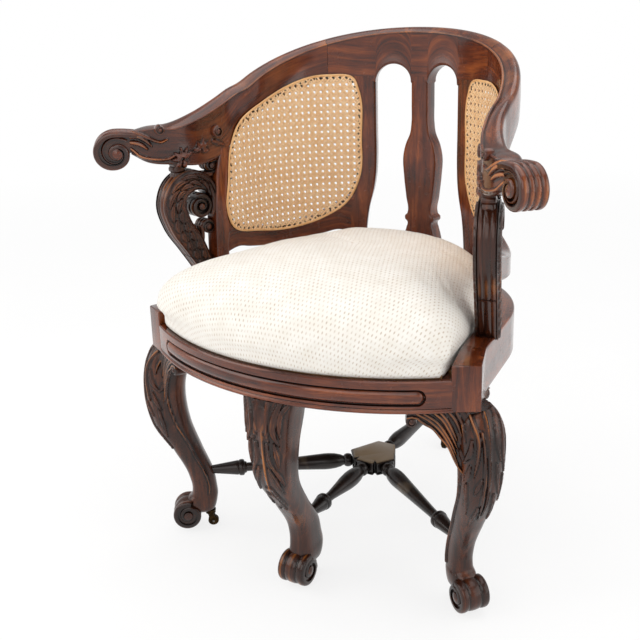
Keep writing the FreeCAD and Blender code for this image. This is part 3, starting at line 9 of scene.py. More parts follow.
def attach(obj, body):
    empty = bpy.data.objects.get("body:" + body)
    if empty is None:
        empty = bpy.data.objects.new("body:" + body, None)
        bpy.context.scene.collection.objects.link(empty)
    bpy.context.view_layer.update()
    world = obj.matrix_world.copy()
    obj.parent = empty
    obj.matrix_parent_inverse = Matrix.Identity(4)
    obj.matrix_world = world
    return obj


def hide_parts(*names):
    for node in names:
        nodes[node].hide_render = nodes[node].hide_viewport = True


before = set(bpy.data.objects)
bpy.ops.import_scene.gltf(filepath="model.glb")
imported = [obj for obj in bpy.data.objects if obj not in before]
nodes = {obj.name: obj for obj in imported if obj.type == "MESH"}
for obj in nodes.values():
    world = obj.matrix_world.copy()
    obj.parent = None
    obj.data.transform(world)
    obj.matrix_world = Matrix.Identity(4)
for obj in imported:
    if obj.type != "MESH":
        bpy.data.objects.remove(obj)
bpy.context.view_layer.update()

# Shared sizes in millimetres. Plan places run from the hub of the stretchers, +X to the right
# and -Y to the front. A rise runs from the top of the side rails.
HUB_Y = -9.5
RAIL_TOP = 409.0
RAIL_FOOT = 341.0
BACK_RADIUS = 218.0
BACK_THICKNESS = 30.0
BACK_CENTRE = -52.0
FLARE = math.radians(82)
FLARE_ALONG = BACK_RADIUS * FLARE
SEAM_ALONG = BACK_RADIUS * math.radians(42)
CREST_FOOT = 336.0
BOW_CENTRE = 104.0
BOW_RADIUS = 430.0
CORNER_ANGLE = math.radians(53.684)
# How far the front and corner legs stand nearer the hub than their sections say
FRONT_INSET = 74.0
CORNER_INSET = 0.07
UP = np.array([0.0, 0.0, 1.0])


# Mesh helpers

def curve(rows, count, places=3):
    """Smooth run of samples through rows of numbers, spaced by their first columns."""
    rows = np.asarray(rows, float)
    gaps = np.linalg.norm(np.diff(rows[:, :places], axis=0), axis=1)
    knots = np.concatenate([[0], np.cumsum(gaps)])
    slopes = np.gradient(rows, knots, axis=0)
    at = np.linspace(0, knots[-1], count) if np.isscalar(count) else np.asarray(count) * knots[-1]
    left = np.clip(np.searchsorted(knots, at, side="right") - 1, 0, len(gaps) - 1)
    span = (knots[left + 1] - knots[left])[:, None]
    t = (at - knots[left])[:, None] / span
    start = (2 * t**3 - 3 * t**2 + 1) * rows[left] + (t**3 - 2 * t**2 + t) * slopes[left] * span
    end = (3 * t**2 - 2 * t**3) * rows[left + 1] + (t**3 - t**2) * slopes[left + 1] * span
    return start + end


def smooth(low, high, value):
    """Smooth step from 0 at low to 1 at high."""
    t = np.clip((value - low) / (high - low), 0, 1)
    return t * t * (3 - 2 * t)


def stacked(*parts):
    """Coordinates from arrays that spread to one shape."""
    return np.stack(np.broadcast_arrays(*parts), axis=-1)


def unit(vectors):
    """Vectors brought to length 1."""
    return vectors / np.maximum(np.linalg.norm(vectors, axis=-1, keepdims=True), 1e-9)


def plan_way(angle):
    """Plan direction at an angle from straight ahead, to the right where it is positive."""
    return np.array([math.sin(angle), -math.cos(angle)])


def loop_normals(loop):
    """Normals of a closed flat outline, inwards where it runs clockwise."""
    ahead = unit(np.roll(loop, -1, axis=0) - np.roll(loop, 1, axis=0))
    return stacked(ahead[:, 1], -ahead[:, 0])


def arc_length(path):
    """Distance of each point of a path from its start."""
    steps = np.linalg.norm(np.diff(path, axis=0), axis=1)
    return np.concatenate([[0], np.cumsum(steps)])


def carry(path, across, over, section):
    """Points of a section, as offsets across and over, carried along a path."""
    return path[:, None] + section[..., 0:1] * across[:, None] + section[..., 1:2] * over[:, None]


def round_section(half_wide, half_high, count, power=2.0):
    """Closed superellipse of offsets."""
    turn = np.linspace(0, 2 * math.pi, count, endpoint=False)
    wide = np.sign(np.cos(turn)) * np.abs(np.cos(turn)) ** (2 / power)
    high = np.sign(np.sin(turn)) * np.abs(np.sin(turn)) ** (2 / power)
    half_wide = np.asarray(half_wide, float)[..., None]
    half_high = np.asarray(half_high, float)[..., None]
    return stacked(wide * half_wide, high * half_high)


class Shell:
    """Surfaces of one piece, in millimetres from the hub."""

    def __init__(self):
        self.points = []
        self.faces = []
        self.grain = []
        self.wear_and_painted_light = []
        self.count = 0

    def grid(self, points, run=None, wear_and_painted_light=0.5, wrap=True, caps=True):
        """Adds a grid. run gives the grain's places, along the grain first, and the wear value also carries
        painted shade and painted highlight.
        """
        rows, columns = points.shape[:2]
        ids = self.count + np.arange(rows * columns).reshape(rows, columns)
        after = np.roll(ids, -1, axis=1)
        last = columns if wrap else columns - 1
        quads = np.stack([ids[:-1, :last], after[:-1, :last], after[1:, :last], ids[1:, :last]], axis=-1)
        self.faces += quads.reshape(-1, 4).tolist()
        if caps and wrap:
            self.faces += [ids[0, ::-1].tolist(), ids[-1].tolist()]
        if run is None:
            length = arc_length(points.mean(axis=1))
            middle = points - points.mean(axis=1, keepdims=True)
            run = stacked(length[:, None], middle[..., 0] + middle[..., 1], middle[..., 2])
        self.points.append(points.reshape(-1, 3))
        self.grain.append(np.asarray(run, float).reshape(-1, 3))
        self.wear_and_painted_light.append(np.broadcast_to(wear_and_painted_light, (rows, columns)).reshape(-1))
        self.count += rows * columns
        return self

    def flip(self):
        """Copy of the shell on the other side of the chair."""
        other = Shell()
        other.points = [p * [-1, 1, 1] for p in self.points]
        other.faces = [face[::-1] for face in self.faces]
        other.grain = [g + [170.0, 37.0, 11.0] for g in self.grain]
        other.wear_and_painted_light = self.wear_and_painted_light
        other.count = self.count
        return other

    def piece(self, name, material, replaced, body="frame", slot="mahogany", sharp=38):
        """Makes the object, which stands for CAD nodes and rides on their body."""
        mesh = bpy.data.meshes.new(name)
        places = (np.concatenate(self.points) + [0, HUB_Y, 0]) / 1000
        mesh.from_pydata(places.tolist(), [], self.faces)
        grain = mesh.attributes.new("grain", "FLOAT_VECTOR", "POINT")
        grain.data.foreach_set("vector", (np.concatenate(self.grain) / 1000).astype(np.float32).ravel())
        # Wear per point, which also carries painted shade and painted highlight for the materials.
        wear_and_painted_light = mesh.attributes.new("wear_and_painted_light", "FLOAT", "POINT")
        wear_and_painted_light.data.foreach_set("value", np.concatenate(self.wear_and_painted_light).astype(np.float32))
        work = bmesh.new()
        work.from_mesh(mesh)
        bmesh.ops.recalc_face_normals(work, faces=work.faces)
        work.to_mesh(mesh)
        work.free()
        mesh.shade_smooth()
        mesh.set_sharp_from_angle(angle=math.radians(sharp))
        mesh.materials.append(material)
        made = bpy.data.objects.new(name, mesh)
        bpy.context.collection.objects.link(made)
        if replaced:
            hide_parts(*replaced)
        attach(made, body)
        return made


# Material helpers

def shade(red, green, blue):
    """Linear colour of a displayed one, from 0 to 255."""
    def linear(value):
        share = value / 255
        return share / 12.92 if share <= 0.04045 else ((share + 0.055) / 1.055) ** 2.4
    return (linear(red), linear(green), linear(blue), 1)


def plug(tree, made, inputs):
    """Sets the inputs of a node as values or links."""
    for key, value in inputs.items():
        if isinstance(value, bpy.types.NodeSocket):
            tree.links.new(value, made.inputs[key])
        else:
            made.inputs[key].default_value = value


def node(tree, kind, inputs=None, **settings):
    """Adds a shader node with its settings and inputs."""
    made = tree.nodes.new("ShaderNode" + kind)
    for key, value in settings.items():
        setattr(made, key, value)
    plug(tree, made, inputs or {})
    return made


def ramp(tree, value, stops):
    """Colour ramp with stops of (place, colour)."""
    made = node(tree, "ValToRGB", {0: value})
    band = made.color_ramp
    while len(band.elements) < len(stops):
        band.elements.new(1)
    for element, (place, colour) in zip(band.elements, stops):
        element.position = place
        element.color = colour if not np.isscalar(colour) else (colour, colour, colour, 1)
    return made.outputs["Color"]


def mix(tree, share, first, second, blend="MIX"):
    """Mix of two colours by a share of the second."""
    made = node(tree, "Mix", {0: share, 6: first, 7: second}, data_type="RGBA", blend_type=blend)
    return made.outputs[2]


def math_node(tree, operation, first, second=0.0):
    """Result of one sum on values or links."""
    return node(tree, "Math", {0: first, 1: second}, operation=operation).outputs[0]


def noise(tree, vector, scale, detail=4.0, rough=0.55, distortion=0.0):
    made = node(tree, "TexNoise", {"Vector": vector, "Scale": scale, "Detail": detail, "Roughness": rough,
                                   "Distortion": distortion})
    return made.outputs["Fac"]


def stretched(tree, vector, factors):
    """Vector with each of its parts multiplied."""
    return node(tree, "VectorMath", {0: vector, 1: factors}, operation="MULTIPLY").outputs[0]


def bump(tree, height, distance):
    """Normal of a surface raised by a height, with the distance in metres."""
    return node(tree, "Bump", {"Height": height, "Distance": distance, "Strength": 1.0}).outputs[0]


def surface(name):
    """New material with an empty node tree, its shader and its tree."""
    material = bpy.data.materials.new(name)
    material.use_nodes = True
    tree = material.node_tree
    tree.nodes.clear()
    shader = node(tree, "BsdfPrincipled")
    node(tree, "OutputMaterial", {0: shader.outputs[0]})
    return material, tree, shader


# Materials

# Distance in metres over which painted shade darkens hollows, also standing for wax and dirt there
HOLLOW_REACH = 0.009
PORE_DEPTH = 0.00006


def wood(name, tones, carried=False, rough=(0.22, 0.38), rubbed_and_lit=(0.7, 0.6), coat=0.3):
    """Polished wood with streaked figure, fine pores, painted shade in hollows that also stands for dirt,
    and worn edges painted lighter as highlight.

    tones are its deep, middle, bright and worn colours, the last also a painted highlight, and rough the
    span of its roughness.
    rubbed is the wear value at which the worn and lit colour starts, and its greatest share.
    """
    deep, middle, bright, worn_and_lit = tones
    material, tree, shader = surface(name)
    if carried:
        place = node(tree, "TexCoord").outputs["Object"]
        streaks = (90.0, 90.0, 7.0)
        pores = (1500.0, 1500.0, 60.0)
    else:
        place = node(tree, "Attribute", attribute_name="grain").outputs["Vector"]
        streaks = (7.0, 90.0, 90.0)
        pores = (60.0, 1500.0, 1500.0)
    figure = noise(tree, stretched(tree, place, streaks), 1.0, 5.0, 0.6, 0.8)
    cloud = noise(tree, place, 14.0, 3.0)
    pore = noise(tree, stretched(tree, place, pores), 1.0, 2.0)
    streaky = math_node(tree, "MULTIPLY", figure, 0.65)
    cloudy = math_node(tree, "MULTIPLY", cloud, 0.35)
    tone = math_node(tree, "ADD", streaky, cloudy)
    colour = ramp(tree, tone, [(0.34, deep), (0.5, middle), (0.64, bright)])
    lines = ramp(tree, pore, [(0.36, 0.6), (0.5, 1.0)])
    colour = mix(tree, 1.0, colour, lines, "MULTIPLY")
    # Ambient occlusion multiplied into the colour: painted shade in hollows, also standing for wax and dirt
    # there.
    hollow = node(tree, "AmbientOcclusion", {"Distance": HOLLOW_REACH}, samples=6).outputs["AO"]
    hollow_shade = ramp(tree, hollow, [(0.3, 0.2), (0.85, 1.0)])
    colour = mix(tree, 1.0, colour, hollow_shade, "MULTIPLY")
    if not carried:
        wear_and_painted_light = node(tree, "Attribute", attribute_name="wear_and_painted_light").outputs["Fac"]
        # Low wear values darken the colour: painted shade on carving ground, in grooves and on sunk faces.
        shadow = ramp(tree, wear_and_painted_light, [(0.0, 0.14), (0.48, 1.0)])
        colour = mix(tree, 1.0, colour, shadow, "MULTIPLY")
        # High wear values, broken up by the cloud, take the worn colour: rubbed wear that also serves as
        # painted highlight on crests and tops.
        spread = math_node(tree, "MULTIPLY", math_node(tree, "SUBTRACT", cloud, 0.5), 0.9)
        patchy = math_node(tree, "ADD", wear_and_painted_light, spread)
        rub_and_highlight = ramp(tree, patchy, [(rubbed_and_lit[0], 0.0), (rubbed_and_lit[0] + 0.32, rubbed_and_lit[1])])
        colour = mix(tree, rub_and_highlight, colour, worn_and_lit)
    sheen = ramp(tree, noise(tree, place, 38.0, 4.0), [(0.3, rough[0]), (0.7, rough[1])])
    plug(tree, shader, {"Base Color": colour, "Roughness": sheen, "Normal": bump(tree, pore, PORE_DEPTH),
                        "Specular IOR Level": 0.3, "Coat Weight": coat, "Coat Roughness": 0.13})
    return material


# Tones: deep, middle, bright, and the colour of worn crests, which also serves as painted highlight.
RED_TONES = (shade(48, 16, 7), shade(94, 40, 15), shade(136, 68, 28), shade(190, 116, 54))
DARK_TONES = (shade(28, 11, 5), shade(60, 26, 11), shade(98, 48, 20), shade(190, 116, 50))
BLACK_TONES = (shade(14, 9, 8), shade(26, 16, 13), shade(40, 25, 19), shade(160, 140, 116))
BEECH_TONES = (shade(150, 110, 70), shade(176, 134, 90), shade(196, 156, 110), shade(196, 156, 110))
RED_WOOD = wood("red_mahogany", RED_TONES, rough=(0.16, 0.3), coat=0.6)
DARK_WOOD = wood("dark_mahogany", DARK_TONES, rubbed_and_lit=(0.6, 0.75))
# For the corner legs: the same wood with less of its worn and highlight colour.
LEG_WOOD = wood("leg_mahogany", DARK_TONES, rubbed_and_lit=(0.78, 0.5))
BLACK_WOOD = wood("blackened_mahogany", BLACK_TONES, rough=(0.3, 0.46), rubbed_and_lit=(0.62, 0.85))
RED_CARRIED = wood("red_mahogany_carried", RED_TONES, carried=True)


def back_place(along, outward, rise):
    """Places along the back's curve, to the right of its middle where along is positive."""
    along, outward, rise = np.broadcast_arrays(np.asarray(along, float), outward, rise)
    angle = np.clip(along / BACK_RADIUS, -FLARE, FLARE)
    spare = along - angle * BACK_RADIUS
    radius = BACK_RADIUS + outward
    x = radius * np.sin(angle) + spare * np.cos(angle)
    y = BACK_CENTRE + radius * np.cos(angle) - spare * np.sin(angle)
    return stacked(x, y, RAIL_TOP + rise)


# Carving

def outward_normals(points):
    """Normals of a wrapped grid, away from its middle line."""
    along = np.gradient(points, axis=0)
    around = np.roll(points, -1, axis=1) - np.roll(points, 1, axis=1)
    normal = unit(np.cross(along, around))
    away = points - points.mean(axis=1, keepdims=True)
    return normal if (normal * away).sum() > 0 else -normal


def ridge(place, axis, width, height, groove=0.0):
    """Height of a carved ridge on a flat map, from its axis and the half widths along it."""
    steps = 20
    line = curve(axis, steps + 1, 2)
    wide = np.interp(np.linspace(0, 1, steps + 1), np.linspace(0, 1, len(width)), width)
    margin = wide.max()
    near = np.all((place > line.min(0) - margin) & (place < line.max(0) + margin), axis=-1)
    spots = place[near]
    far = 9.0
    best = np.full(len(spots), far)
    for start, end, first, last in zip(line, line[1:], wide, wide[1:]):
        step = end - start
        share = np.clip((spots - start) @ step / (step @ step), 0, 1)
        gap = np.linalg.norm(spots - start - share[:, None] * step, axis=1)
        best = np.minimum(best, gap / np.maximum(first + share * (last - first), 0.3))
    body = np.sqrt(np.clip(1 - best**2, 0, None))
    result = np.zeros(place.shape[:-1])
    result[near] = height * body * (1 - groove * np.exp(-((best / 0.36) ** 2)))
    return result


def carve(place, ridges, plain=0.5):
    """Highest ridge at each place, and the wear: painted shade on the ground round the carving, crests
    rubbed and painted lighter as highlight.
    """
    height = np.zeros(place.shape[:-1])
    ground = np.zeros(place.shape[:-1])
    share = np.zeros(place.shape[:-1])
    for axis, width, high, groove in ridges:
        raised = ridge(place, axis, width, high, groove)
        height = np.maximum(height, raised)
        share = np.maximum(share, raised / high)
        ground = np.maximum(ground, ridge(place, axis, np.asarray(width) * 1.5 + 1.2, 1.0))
    # Painted shade on the carving ground, rising to rubbing and painted highlight at the crests.
    worn_and_lit = 0.1 + 0.42 * share + 0.46 * share**5
    return height, np.where(ground > 0.05, worn_and_lit, plain)


def lathe(shell, centre, axis, rows, count=40, wear_and_painted_light=0.5):
    """Turned form about an axis from rows of (distance, radius)."""
    rows = np.asarray(rows, float)
    axis = unit(np.asarray(axis, float))
    side = unit(np.cross(axis, [0.3, 0.2, 1.0] if abs(axis[2]) < 0.9 else [1.0, 0, 0]))
    other = np.cross(axis, side)
    turn = np.linspace(0, 2 * math.pi, count, endpoint=False)
    ring = np.cos(turn)[:, None] * side + np.sin(turn)[:, None] * other
    points = np.asarray(centre) + rows[:, None, 0:1] * axis + rows[:, None, 1:2] * ring
    return shell.grid(points, wear_and_painted_light=wear_and_painted_light)


# How far the core of a volute reaches back towards its arm
CORE_BACK = 26.0
# Height of the teeth on a milled rib, and their turns along it in radians per millimetre
TOOTH_HIGH = 0.7
TOOTH_RATE = 1.5
# Share by which a scroll widens towards its eye
SCROLL_SPREAD = 0.06


def scroll(shell, centre, ahead, radii, wide, ribs, band=8.0, rib_high=2.2, start=90.0, lead=0.0, milled=(),
           sink=6.0):
    """Spiral band about a level axis: over its front, under and inwards, round a sunk core.

    radii are its reach at each quarter turn, and start the angle where it begins. ribs are
    (middle, half width) on a width from -1 to 1. lead is the length of straight band before the
    spiral, milled the ribs with small teeth, and sink the depth of the core under the band.
    """
    centre = np.asarray(centre, float)
    ahead = unit(np.array([ahead[0], ahead[1], 0.0]))
    axis = np.array([-ahead[1], ahead[0], 0.0])
    quarters = len(radii) - 1
    steps = int(14 + radii[0] / 2) * quarters
    turn = np.linspace(0, quarters * math.pi / 2, steps)
    reach = curve(np.column_stack([np.arange(quarters + 1), radii]), steps, 1)[:, 1]
    behind = np.linspace(lead, 0, int(lead), endpoint=False)
    turn = np.concatenate([0 * behind, turn])
    reach = np.concatenate([radii[0] - 4 * (behind / max(lead, 1)) ** 2, reach])
    behind = np.concatenate([behind, np.zeros(steps)])
    share = turn / turn[-1]
    thick = band * (1 - 0.45 * share)
    angle = math.radians(start) - turn
    out = np.cos(angle)[:, None] * ahead + np.sin(angle)[:, None] * UP
    travel = np.cumsum(reach) * (turn[-1] - turn[-2])
    columns = 43 if len(ribs) > 1 else 19
    across = np.linspace(-1, 1, columns)
    profile = np.zeros(columns)
    teeth = np.zeros((len(turn), columns))
    for index, (middle, half) in enumerate(ribs):
        rib = np.sqrt(np.clip(1 - ((across - middle) / half) ** 2, 0, None))
        profile = np.maximum(profile, rib)
        if index in milled:
            tooth = TOOTH_HIGH * (0.5 + 0.5 * np.cos(travel * TOOTH_RATE))
            teeth += tooth[:, None] * (rib > 0.6)
    edge = np.sqrt(np.clip(1 - np.abs(across) ** 12, 0, None))
    top = rib_high * (profile - 1) - 2.5 * (1 - edge)
    face = reach[:, None] + top * (1 - 0.5 * share[:, None]) - teeth
    inner = (reach - thick)[:, None]
    back = np.linspace(1, -1, 7)
    # Inner face of the band is painted dark: painted shade under the coil.
    band_back_shade = np.full(len(back), 0.1)
    radial = np.concatenate([face, inner + 0 * back], axis=1)
    axial = np.concatenate([across, back]) * (wide / 2 * (1 + SCROLL_SPREAD * share))[:, None]
    middle = centre - behind[:, None] * ahead
    points = middle[:, None] + out[:, None] * radial[..., None] + axis * axial[..., None]
    # Rib crests lighter, grooves darker: painted highlight with rubbing on the crests, painted shade in the
    # grooves.
    shine = np.concatenate([0.12 + 0.32 * profile + 0.28 * profile**8, band_back_shade])
    run = stacked(travel[:, None], axial, radial)
    shell.grid(points, run, shine)
    lap = np.linspace(0, 2 * math.pi, 96, endpoint=False)
    rim = np.interp(lap, turn[int(lead):], (reach - thick * 0.5)[int(lead):])
    angle = math.radians(start) - lap
    if lead:
        least = 0.05
        under = (radii[0] - band / 2) / np.maximum(np.sin(angle), least)
        before_arm = CORE_BACK / np.maximum(-np.cos(angle), least)
        rim = np.where(lap > 1.5 * math.pi, np.minimum(under, before_arm), rim)
    out = np.cos(angle)[:, None] * ahead + np.sin(angle)[:, None] * UP
    level = wide / 2 - min(sink, wide * 0.18)
    rings = [(0.04, level), (1, level), (1, -level), (0.04, -level)]
    points = np.stack([centre + out * (rim * part)[:, None] + axis * high for part, high in rings])
    # Sunk core painted dark: painted shade in the core.
    shell.grid(points, wear_and_painted_light=0.16)
    tip = wide / 2 * (1 + SCROLL_SPREAD)
    eye = radii[-1]
    dome = [(-tip - 1.2, 0.2), (-tip - 0.8, eye * 0.5), (-tip + 0.6, eye * 0.9), (-tip + 3, eye)]
    lathe(shell, centre, axis, dome + [(-d, r) for d, r in reversed(dome)], 24, 0.55)


# Crest and arms

CREST_HIGH = 81.7
# Fall of the crest's top at this many degrees from the middle, and the power of its curve
CREST_FALL = 42.0
CREST_FALL_ANGLE = 60.0
CREST_FALL_POWER = 2.1
# Depth of the crest at the seams with the arms, and the gap on each side of a seam
SEAM_DEPTH = 66.0
SEAM_GAP = 0.3
CREST_SHOULDER = 8.5


def crest_top(along):
    """Rise of the crest's top, which falls away from the middle."""
    turned = np.degrees(np.abs(along) / BACK_RADIUS) / CREST_FALL_ANGLE
    return CREST_FOOT + CREST_HIGH - CREST_FALL * turned**CREST_FALL_POWER


RAIL_CORNER = 4.0
# Columns of a rail's section: its foot corner, its inner face, its bead and its sloped top
RAIL_COLUMNS = (6, 44, 10, 14)


def rail_section(wide, deep, shoulder):
    """Section of the crest and arms from the inner foot: hollow face, bead, rising top and back."""
    turn = np.linspace(0, math.pi / 2, RAIL_COLUMNS[0])
    corner = RAIL_CORNER
    t = np.linspace(0, 1, RAIL_COLUMNS[1] + 1)[1:]
    rows = [(corner - corner * np.sin(turn), corner - corner * np.cos(turn))]
    rows.append((1.8 * t**3 + 2.0 * np.sin(math.pi * t), corner + (deep - shoulder - corner) * t))
    bead = np.radians(np.linspace(195, 10, RAIL_COLUMNS[2]))
    rows.append((3.8 + 2.0 * np.cos(bead), deep - shoulder + 0.4 + 2.0 * np.sin(bead)))
    t = np.linspace(0, 1, RAIL_COLUMNS[3])
    rows.append((6.4 + (wide - 13.4) * t, deep - shoulder + shoulder * np.sin(math.pi / 2 * t)))
    out = 7
    down = 9
    rows.append((wide - out + out * np.sin(turn[1:]), deep - down + down * np.cos(turn[1:])))
    t = np.linspace(0, 1, 8)[1:]
    rows.append((wide + 0.8 * np.sin(math.pi * t), deep - down - (deep - down - corner) * t))
    rows.append((wide - corner + corner * np.cos(turn[1:]), corner - corner * np.sin(turn[1:])))
    t = np.linspace(0, 1, 5)[1:-1]
    rows.append((wide - corner - (wide - 2 * corner) * t, 0 * t))
    return np.concatenate([stacked(*row) for row in rows])


def rail_wear_and_light(count):
    """Wear across a rail's section, with painted light: painted shade in the line under the bead, bead and
    top rubbed and painted lighter as highlight.
    """
    face, bead, top = np.cumsum(RAIL_COLUMNS)[1:]
    wear_and_painted_light = np.full(count, 0.5)
    wear_and_painted_light[face - 2:face + 1] = 0.2
    wear_and_painted_light[face + 1:bead] = 0.82
    wear_and_painted_light[bead:bead + 2] = 0.25
    wear_and_painted_light[bead + 2:top + 3] = 0.7
    return wear_and_painted_light


def crest():
    """Middle of the crest, with the round heads of the two slots."""
    slot_in = 15.5
    slot_out = 78.0
    spring = 326.0
    half = (slot_out - slot_in) / 2
    middle = (slot_out + slot_in) / 2
    arch = middle - half * np.cos(np.linspace(0, math.pi, 41))
    right = np.concatenate([np.linspace(0, slot_in, 6)[:-1], [slot_in - 0.02], arch,
                            np.linspace(slot_out, SEAM_ALONG - SEAM_GAP, 26)[1:]])
    along = np.concatenate([-right[:0:-1], right])
    spread = np.abs(along)
    head = np.sqrt(np.clip(half**2 - (spread - middle) ** 2, 0, None))
    seam_foot = crest_top(SEAM_ALONG) - SEAM_DEPTH
    slope = smooth(slot_out + 24, SEAM_ALONG, spread)
    foot = np.where((spread > slot_in) & (spread < slot_out), spring + head, spring)
    foot = foot + (seam_foot - spring) * slope
    depths = crest_top(along) - foot
    section = np.stack([rail_section(BACK_THICKNESS, deep, CREST_SHOULDER) for deep in depths])
    points = back_place(along[:, None], section[..., 0], foot[:, None] + section[..., 1])
    run = stacked(along[:, None], section[..., 0], section[..., 1])
    return Shell().grid(points, run, rail_wear_and_light(section.shape[1]))


def flare_place(ahead, outward):
    """Plan place ahead of the right flare and outside the back's line."""
    return back_place(FLARE_ALONG + ahead, outward, 0)[:2]


# Arm past the flare: place ahead and outward, heading, width, drop of the foot and of the top
ARM_STATIONS = [
    (30, 15, 8, 30, 78, 8),
    (60, 15, 10, 30, 103, 20),
    (104.5, 22.8, 20, 34, 119, 39),
    (145.1, 39.3, 34, 38, 115, 53),
    (177, 63, 46, 40, 108, 57),
    (193, 76.5, 48.5, 29, 96, 62),
]
VOLUTE_EYE = (209.5, 90.7)
VOLUTE_HEADING = math.radians(48.5)
VOLUTE_RISE = 242.0
# Reach of an arm's volute at each quarter turn, from its top over its front
VOLUTE_RADII = [35.5, 35.5, 24.5, 19.5, 16, 12.5, 9.5, 7]
# Reach of the inner strand of a volute
STRAND_RADII = [28, 26, 18.5, 12.5, 9.5]
VOLUTE_RIBS = [(-0.72, 0.28), (-0.2, 0.16), (0.24, 0.16), (0.76, 0.24)]
VOLUTE_WIDE = 40.0
# One rib over the whole width of a scroll
PLAIN_RIB = [(0, 1.0)]


def arm_rows():
    """Stations of the right arm: x, y, foot, top, heading and width."""
    rows = []
    for step in np.linspace(0, 1, 7):
        along = SEAM_ALONG + SEAM_GAP + (FLARE_ALONG - SEAM_ALONG - SEAM_GAP) * step
        place = back_place(along, BACK_THICKNESS / 2, 0)
        deep = np.interp(step, [0, 0.25, 0.5, 1], [SEAM_DEPTH, 64, 63, 62])
        rows.append((place[0], place[1], crest_top(along) - deep, crest_top(along),
                     90 - math.degrees(along / BACK_RADIUS), BACK_THICKNESS))
    for ahead, out, heading, wide, foot, top in ARM_STATIONS:
        place = flare_place(ahead, out)
        rows.append((place[0], place[1], CREST_FOOT - foot, CREST_FOOT - top, heading, wide))
    return np.array(rows)


def fan(along, girth, reach, angles):
    """Leaf lobes that spread from one place on an arm's face."""
    lobes = []
    for angle in np.radians(angles):
        way = np.array([math.cos(angle), math.sin(angle)])
        axis = [(along, girth) + way * reach * part for part in (0.2, 0.6, 1.0)]
        lobes.append((axis, [1.8, 3.8, 2.8, 0.8], 5.0, 0.3))
    return lobes


# Carving of an arm: axis of (distance from its end, girth over its bead), half widths, height, groove
ARM_RIDGES = [
    ([(-1, 3), (15, -1), (27, -8), (40, -16), (50, -19), (61, -14)], [3.0, 2.8, 2.6, 2.2, 1.6], 3.4, 0.0),
    ([(-1, -3), (15, -6), (27, -14), (36, -24)], [3.4, 3.8, 3.4, 1.4], 4.4, 0.0),
    ([(-2, -11), (10, -15), (20, -20), (29, -28)], [3.4, 3.8, 3.4, 1.4], 4.4, 0.0),
    ([(-1, -21), (5, -26), (15, -36), (27, -42), (46, -46), (62, -44), (70, -40)],
     [2.6, 2.4, 2.4, 2.0], 3.0, 0.0),
    ([(140, -44), (152, -54), (164, -62)], [2.0, 3.4, 1.0], 4.0, 0.3),
    ([(78, -76), (116, -77), (150, -79)], [1.6, 1.6, 1.6], 2.0, 0.0),
]
ARM_RIDGES += fan(83, -48, 18, [15, 55, 95, 135, 175, 225, 290])
ARM_RIDGES += fan(117, -47, 15, [25, 70, 115, 160, 330])
# Knobs on an arm: distance from its end, drop under its top, radius and width
ARM_KNOBS = [(50, 4.0, 8.6, 15.0), (150, 42.0, 10.5, 14.0)]


def arm():
    """Right arm from the seam to its volute."""
    shell = Shell()
    rows = curve(arm_rows(), 330, 2)
    turn = np.radians(rows[:, 4])
    outward = stacked(np.cos(turn), np.sin(turn), 0.0)
    up = np.tile(UP, (len(rows), 1))
    inner = np.column_stack([rows[:, :2], RAIL_TOP + rows[:, 2]]) - outward * rows[:, 5:6] / 2
    length = arc_length(inner)
    back = length[-1] - length
    shoulder = CREST_SHOULDER - 5 * (1 - smooth(40, 80, back))
    section = np.stack([rail_section(wide, top - foot, slope)
                        for (foot, top, wide), slope in zip(rows[:, [2, 3, 5]], shoulder)])
    points = carry(inner, outward, up, section)
    steps = np.linalg.norm(np.diff(points, axis=1), axis=-1)
    girth = np.concatenate([np.zeros((len(rows), 1)), np.cumsum(steps, axis=1)], axis=1)
    bead = sum(RAIL_COLUMNS[:2])
    place = stacked(back[:, None], girth - girth[:, bead:bead + 1])
    # The arm's colour is made darker towards its front end.
    plain = rail_wear_and_light(section.shape[1]) * (1 - 0.52 * (1 - smooth(60, 230, back[:, None])))
    relief, wear_and_painted_light = carve(place, ARM_RIDGES, plain)
    points = points + outward_normals(points) * relief[..., None]
    grain_start = 200
    run = stacked(length[:, None] + grain_start, section[..., 0], section[..., 1])
    shell.grid(points, run, wear_and_painted_light)
    centre = np.append(flare_place(*VOLUTE_EYE), RAIL_TOP + VOLUTE_RISE)
    ahead = plan_way(VOLUTE_HEADING)
    scroll(shell, centre, ahead, VOLUTE_RADII, VOLUTE_WIDE, VOLUTE_RIBS, 9.0, 2.4, lead=38.0, milled=(1, 2))
    scroll(shell, centre, ahead, STRAND_RADII, VOLUTE_WIDE - 1, PLAIN_RIB, 4.5, 0.4, 130.0)
    for far, drop, radius, wide in ARM_KNOBS:
        row = np.argmin(np.abs(back - far))
        knob = inner[row] + outward[row] * (wide / 2 - 4)
        knob[2] = RAIL_TOP + rows[row, 3] - drop
        radii = radius * np.array([1, 1, 0.95, 0.85, 0.72, 0.6, 0.48, 0.38])
        scroll(shell, knob, plan_way(turn[row]), radii, wide, PLAIN_RIB, radius * 0.3, 1.0)
    return shell


# Legs

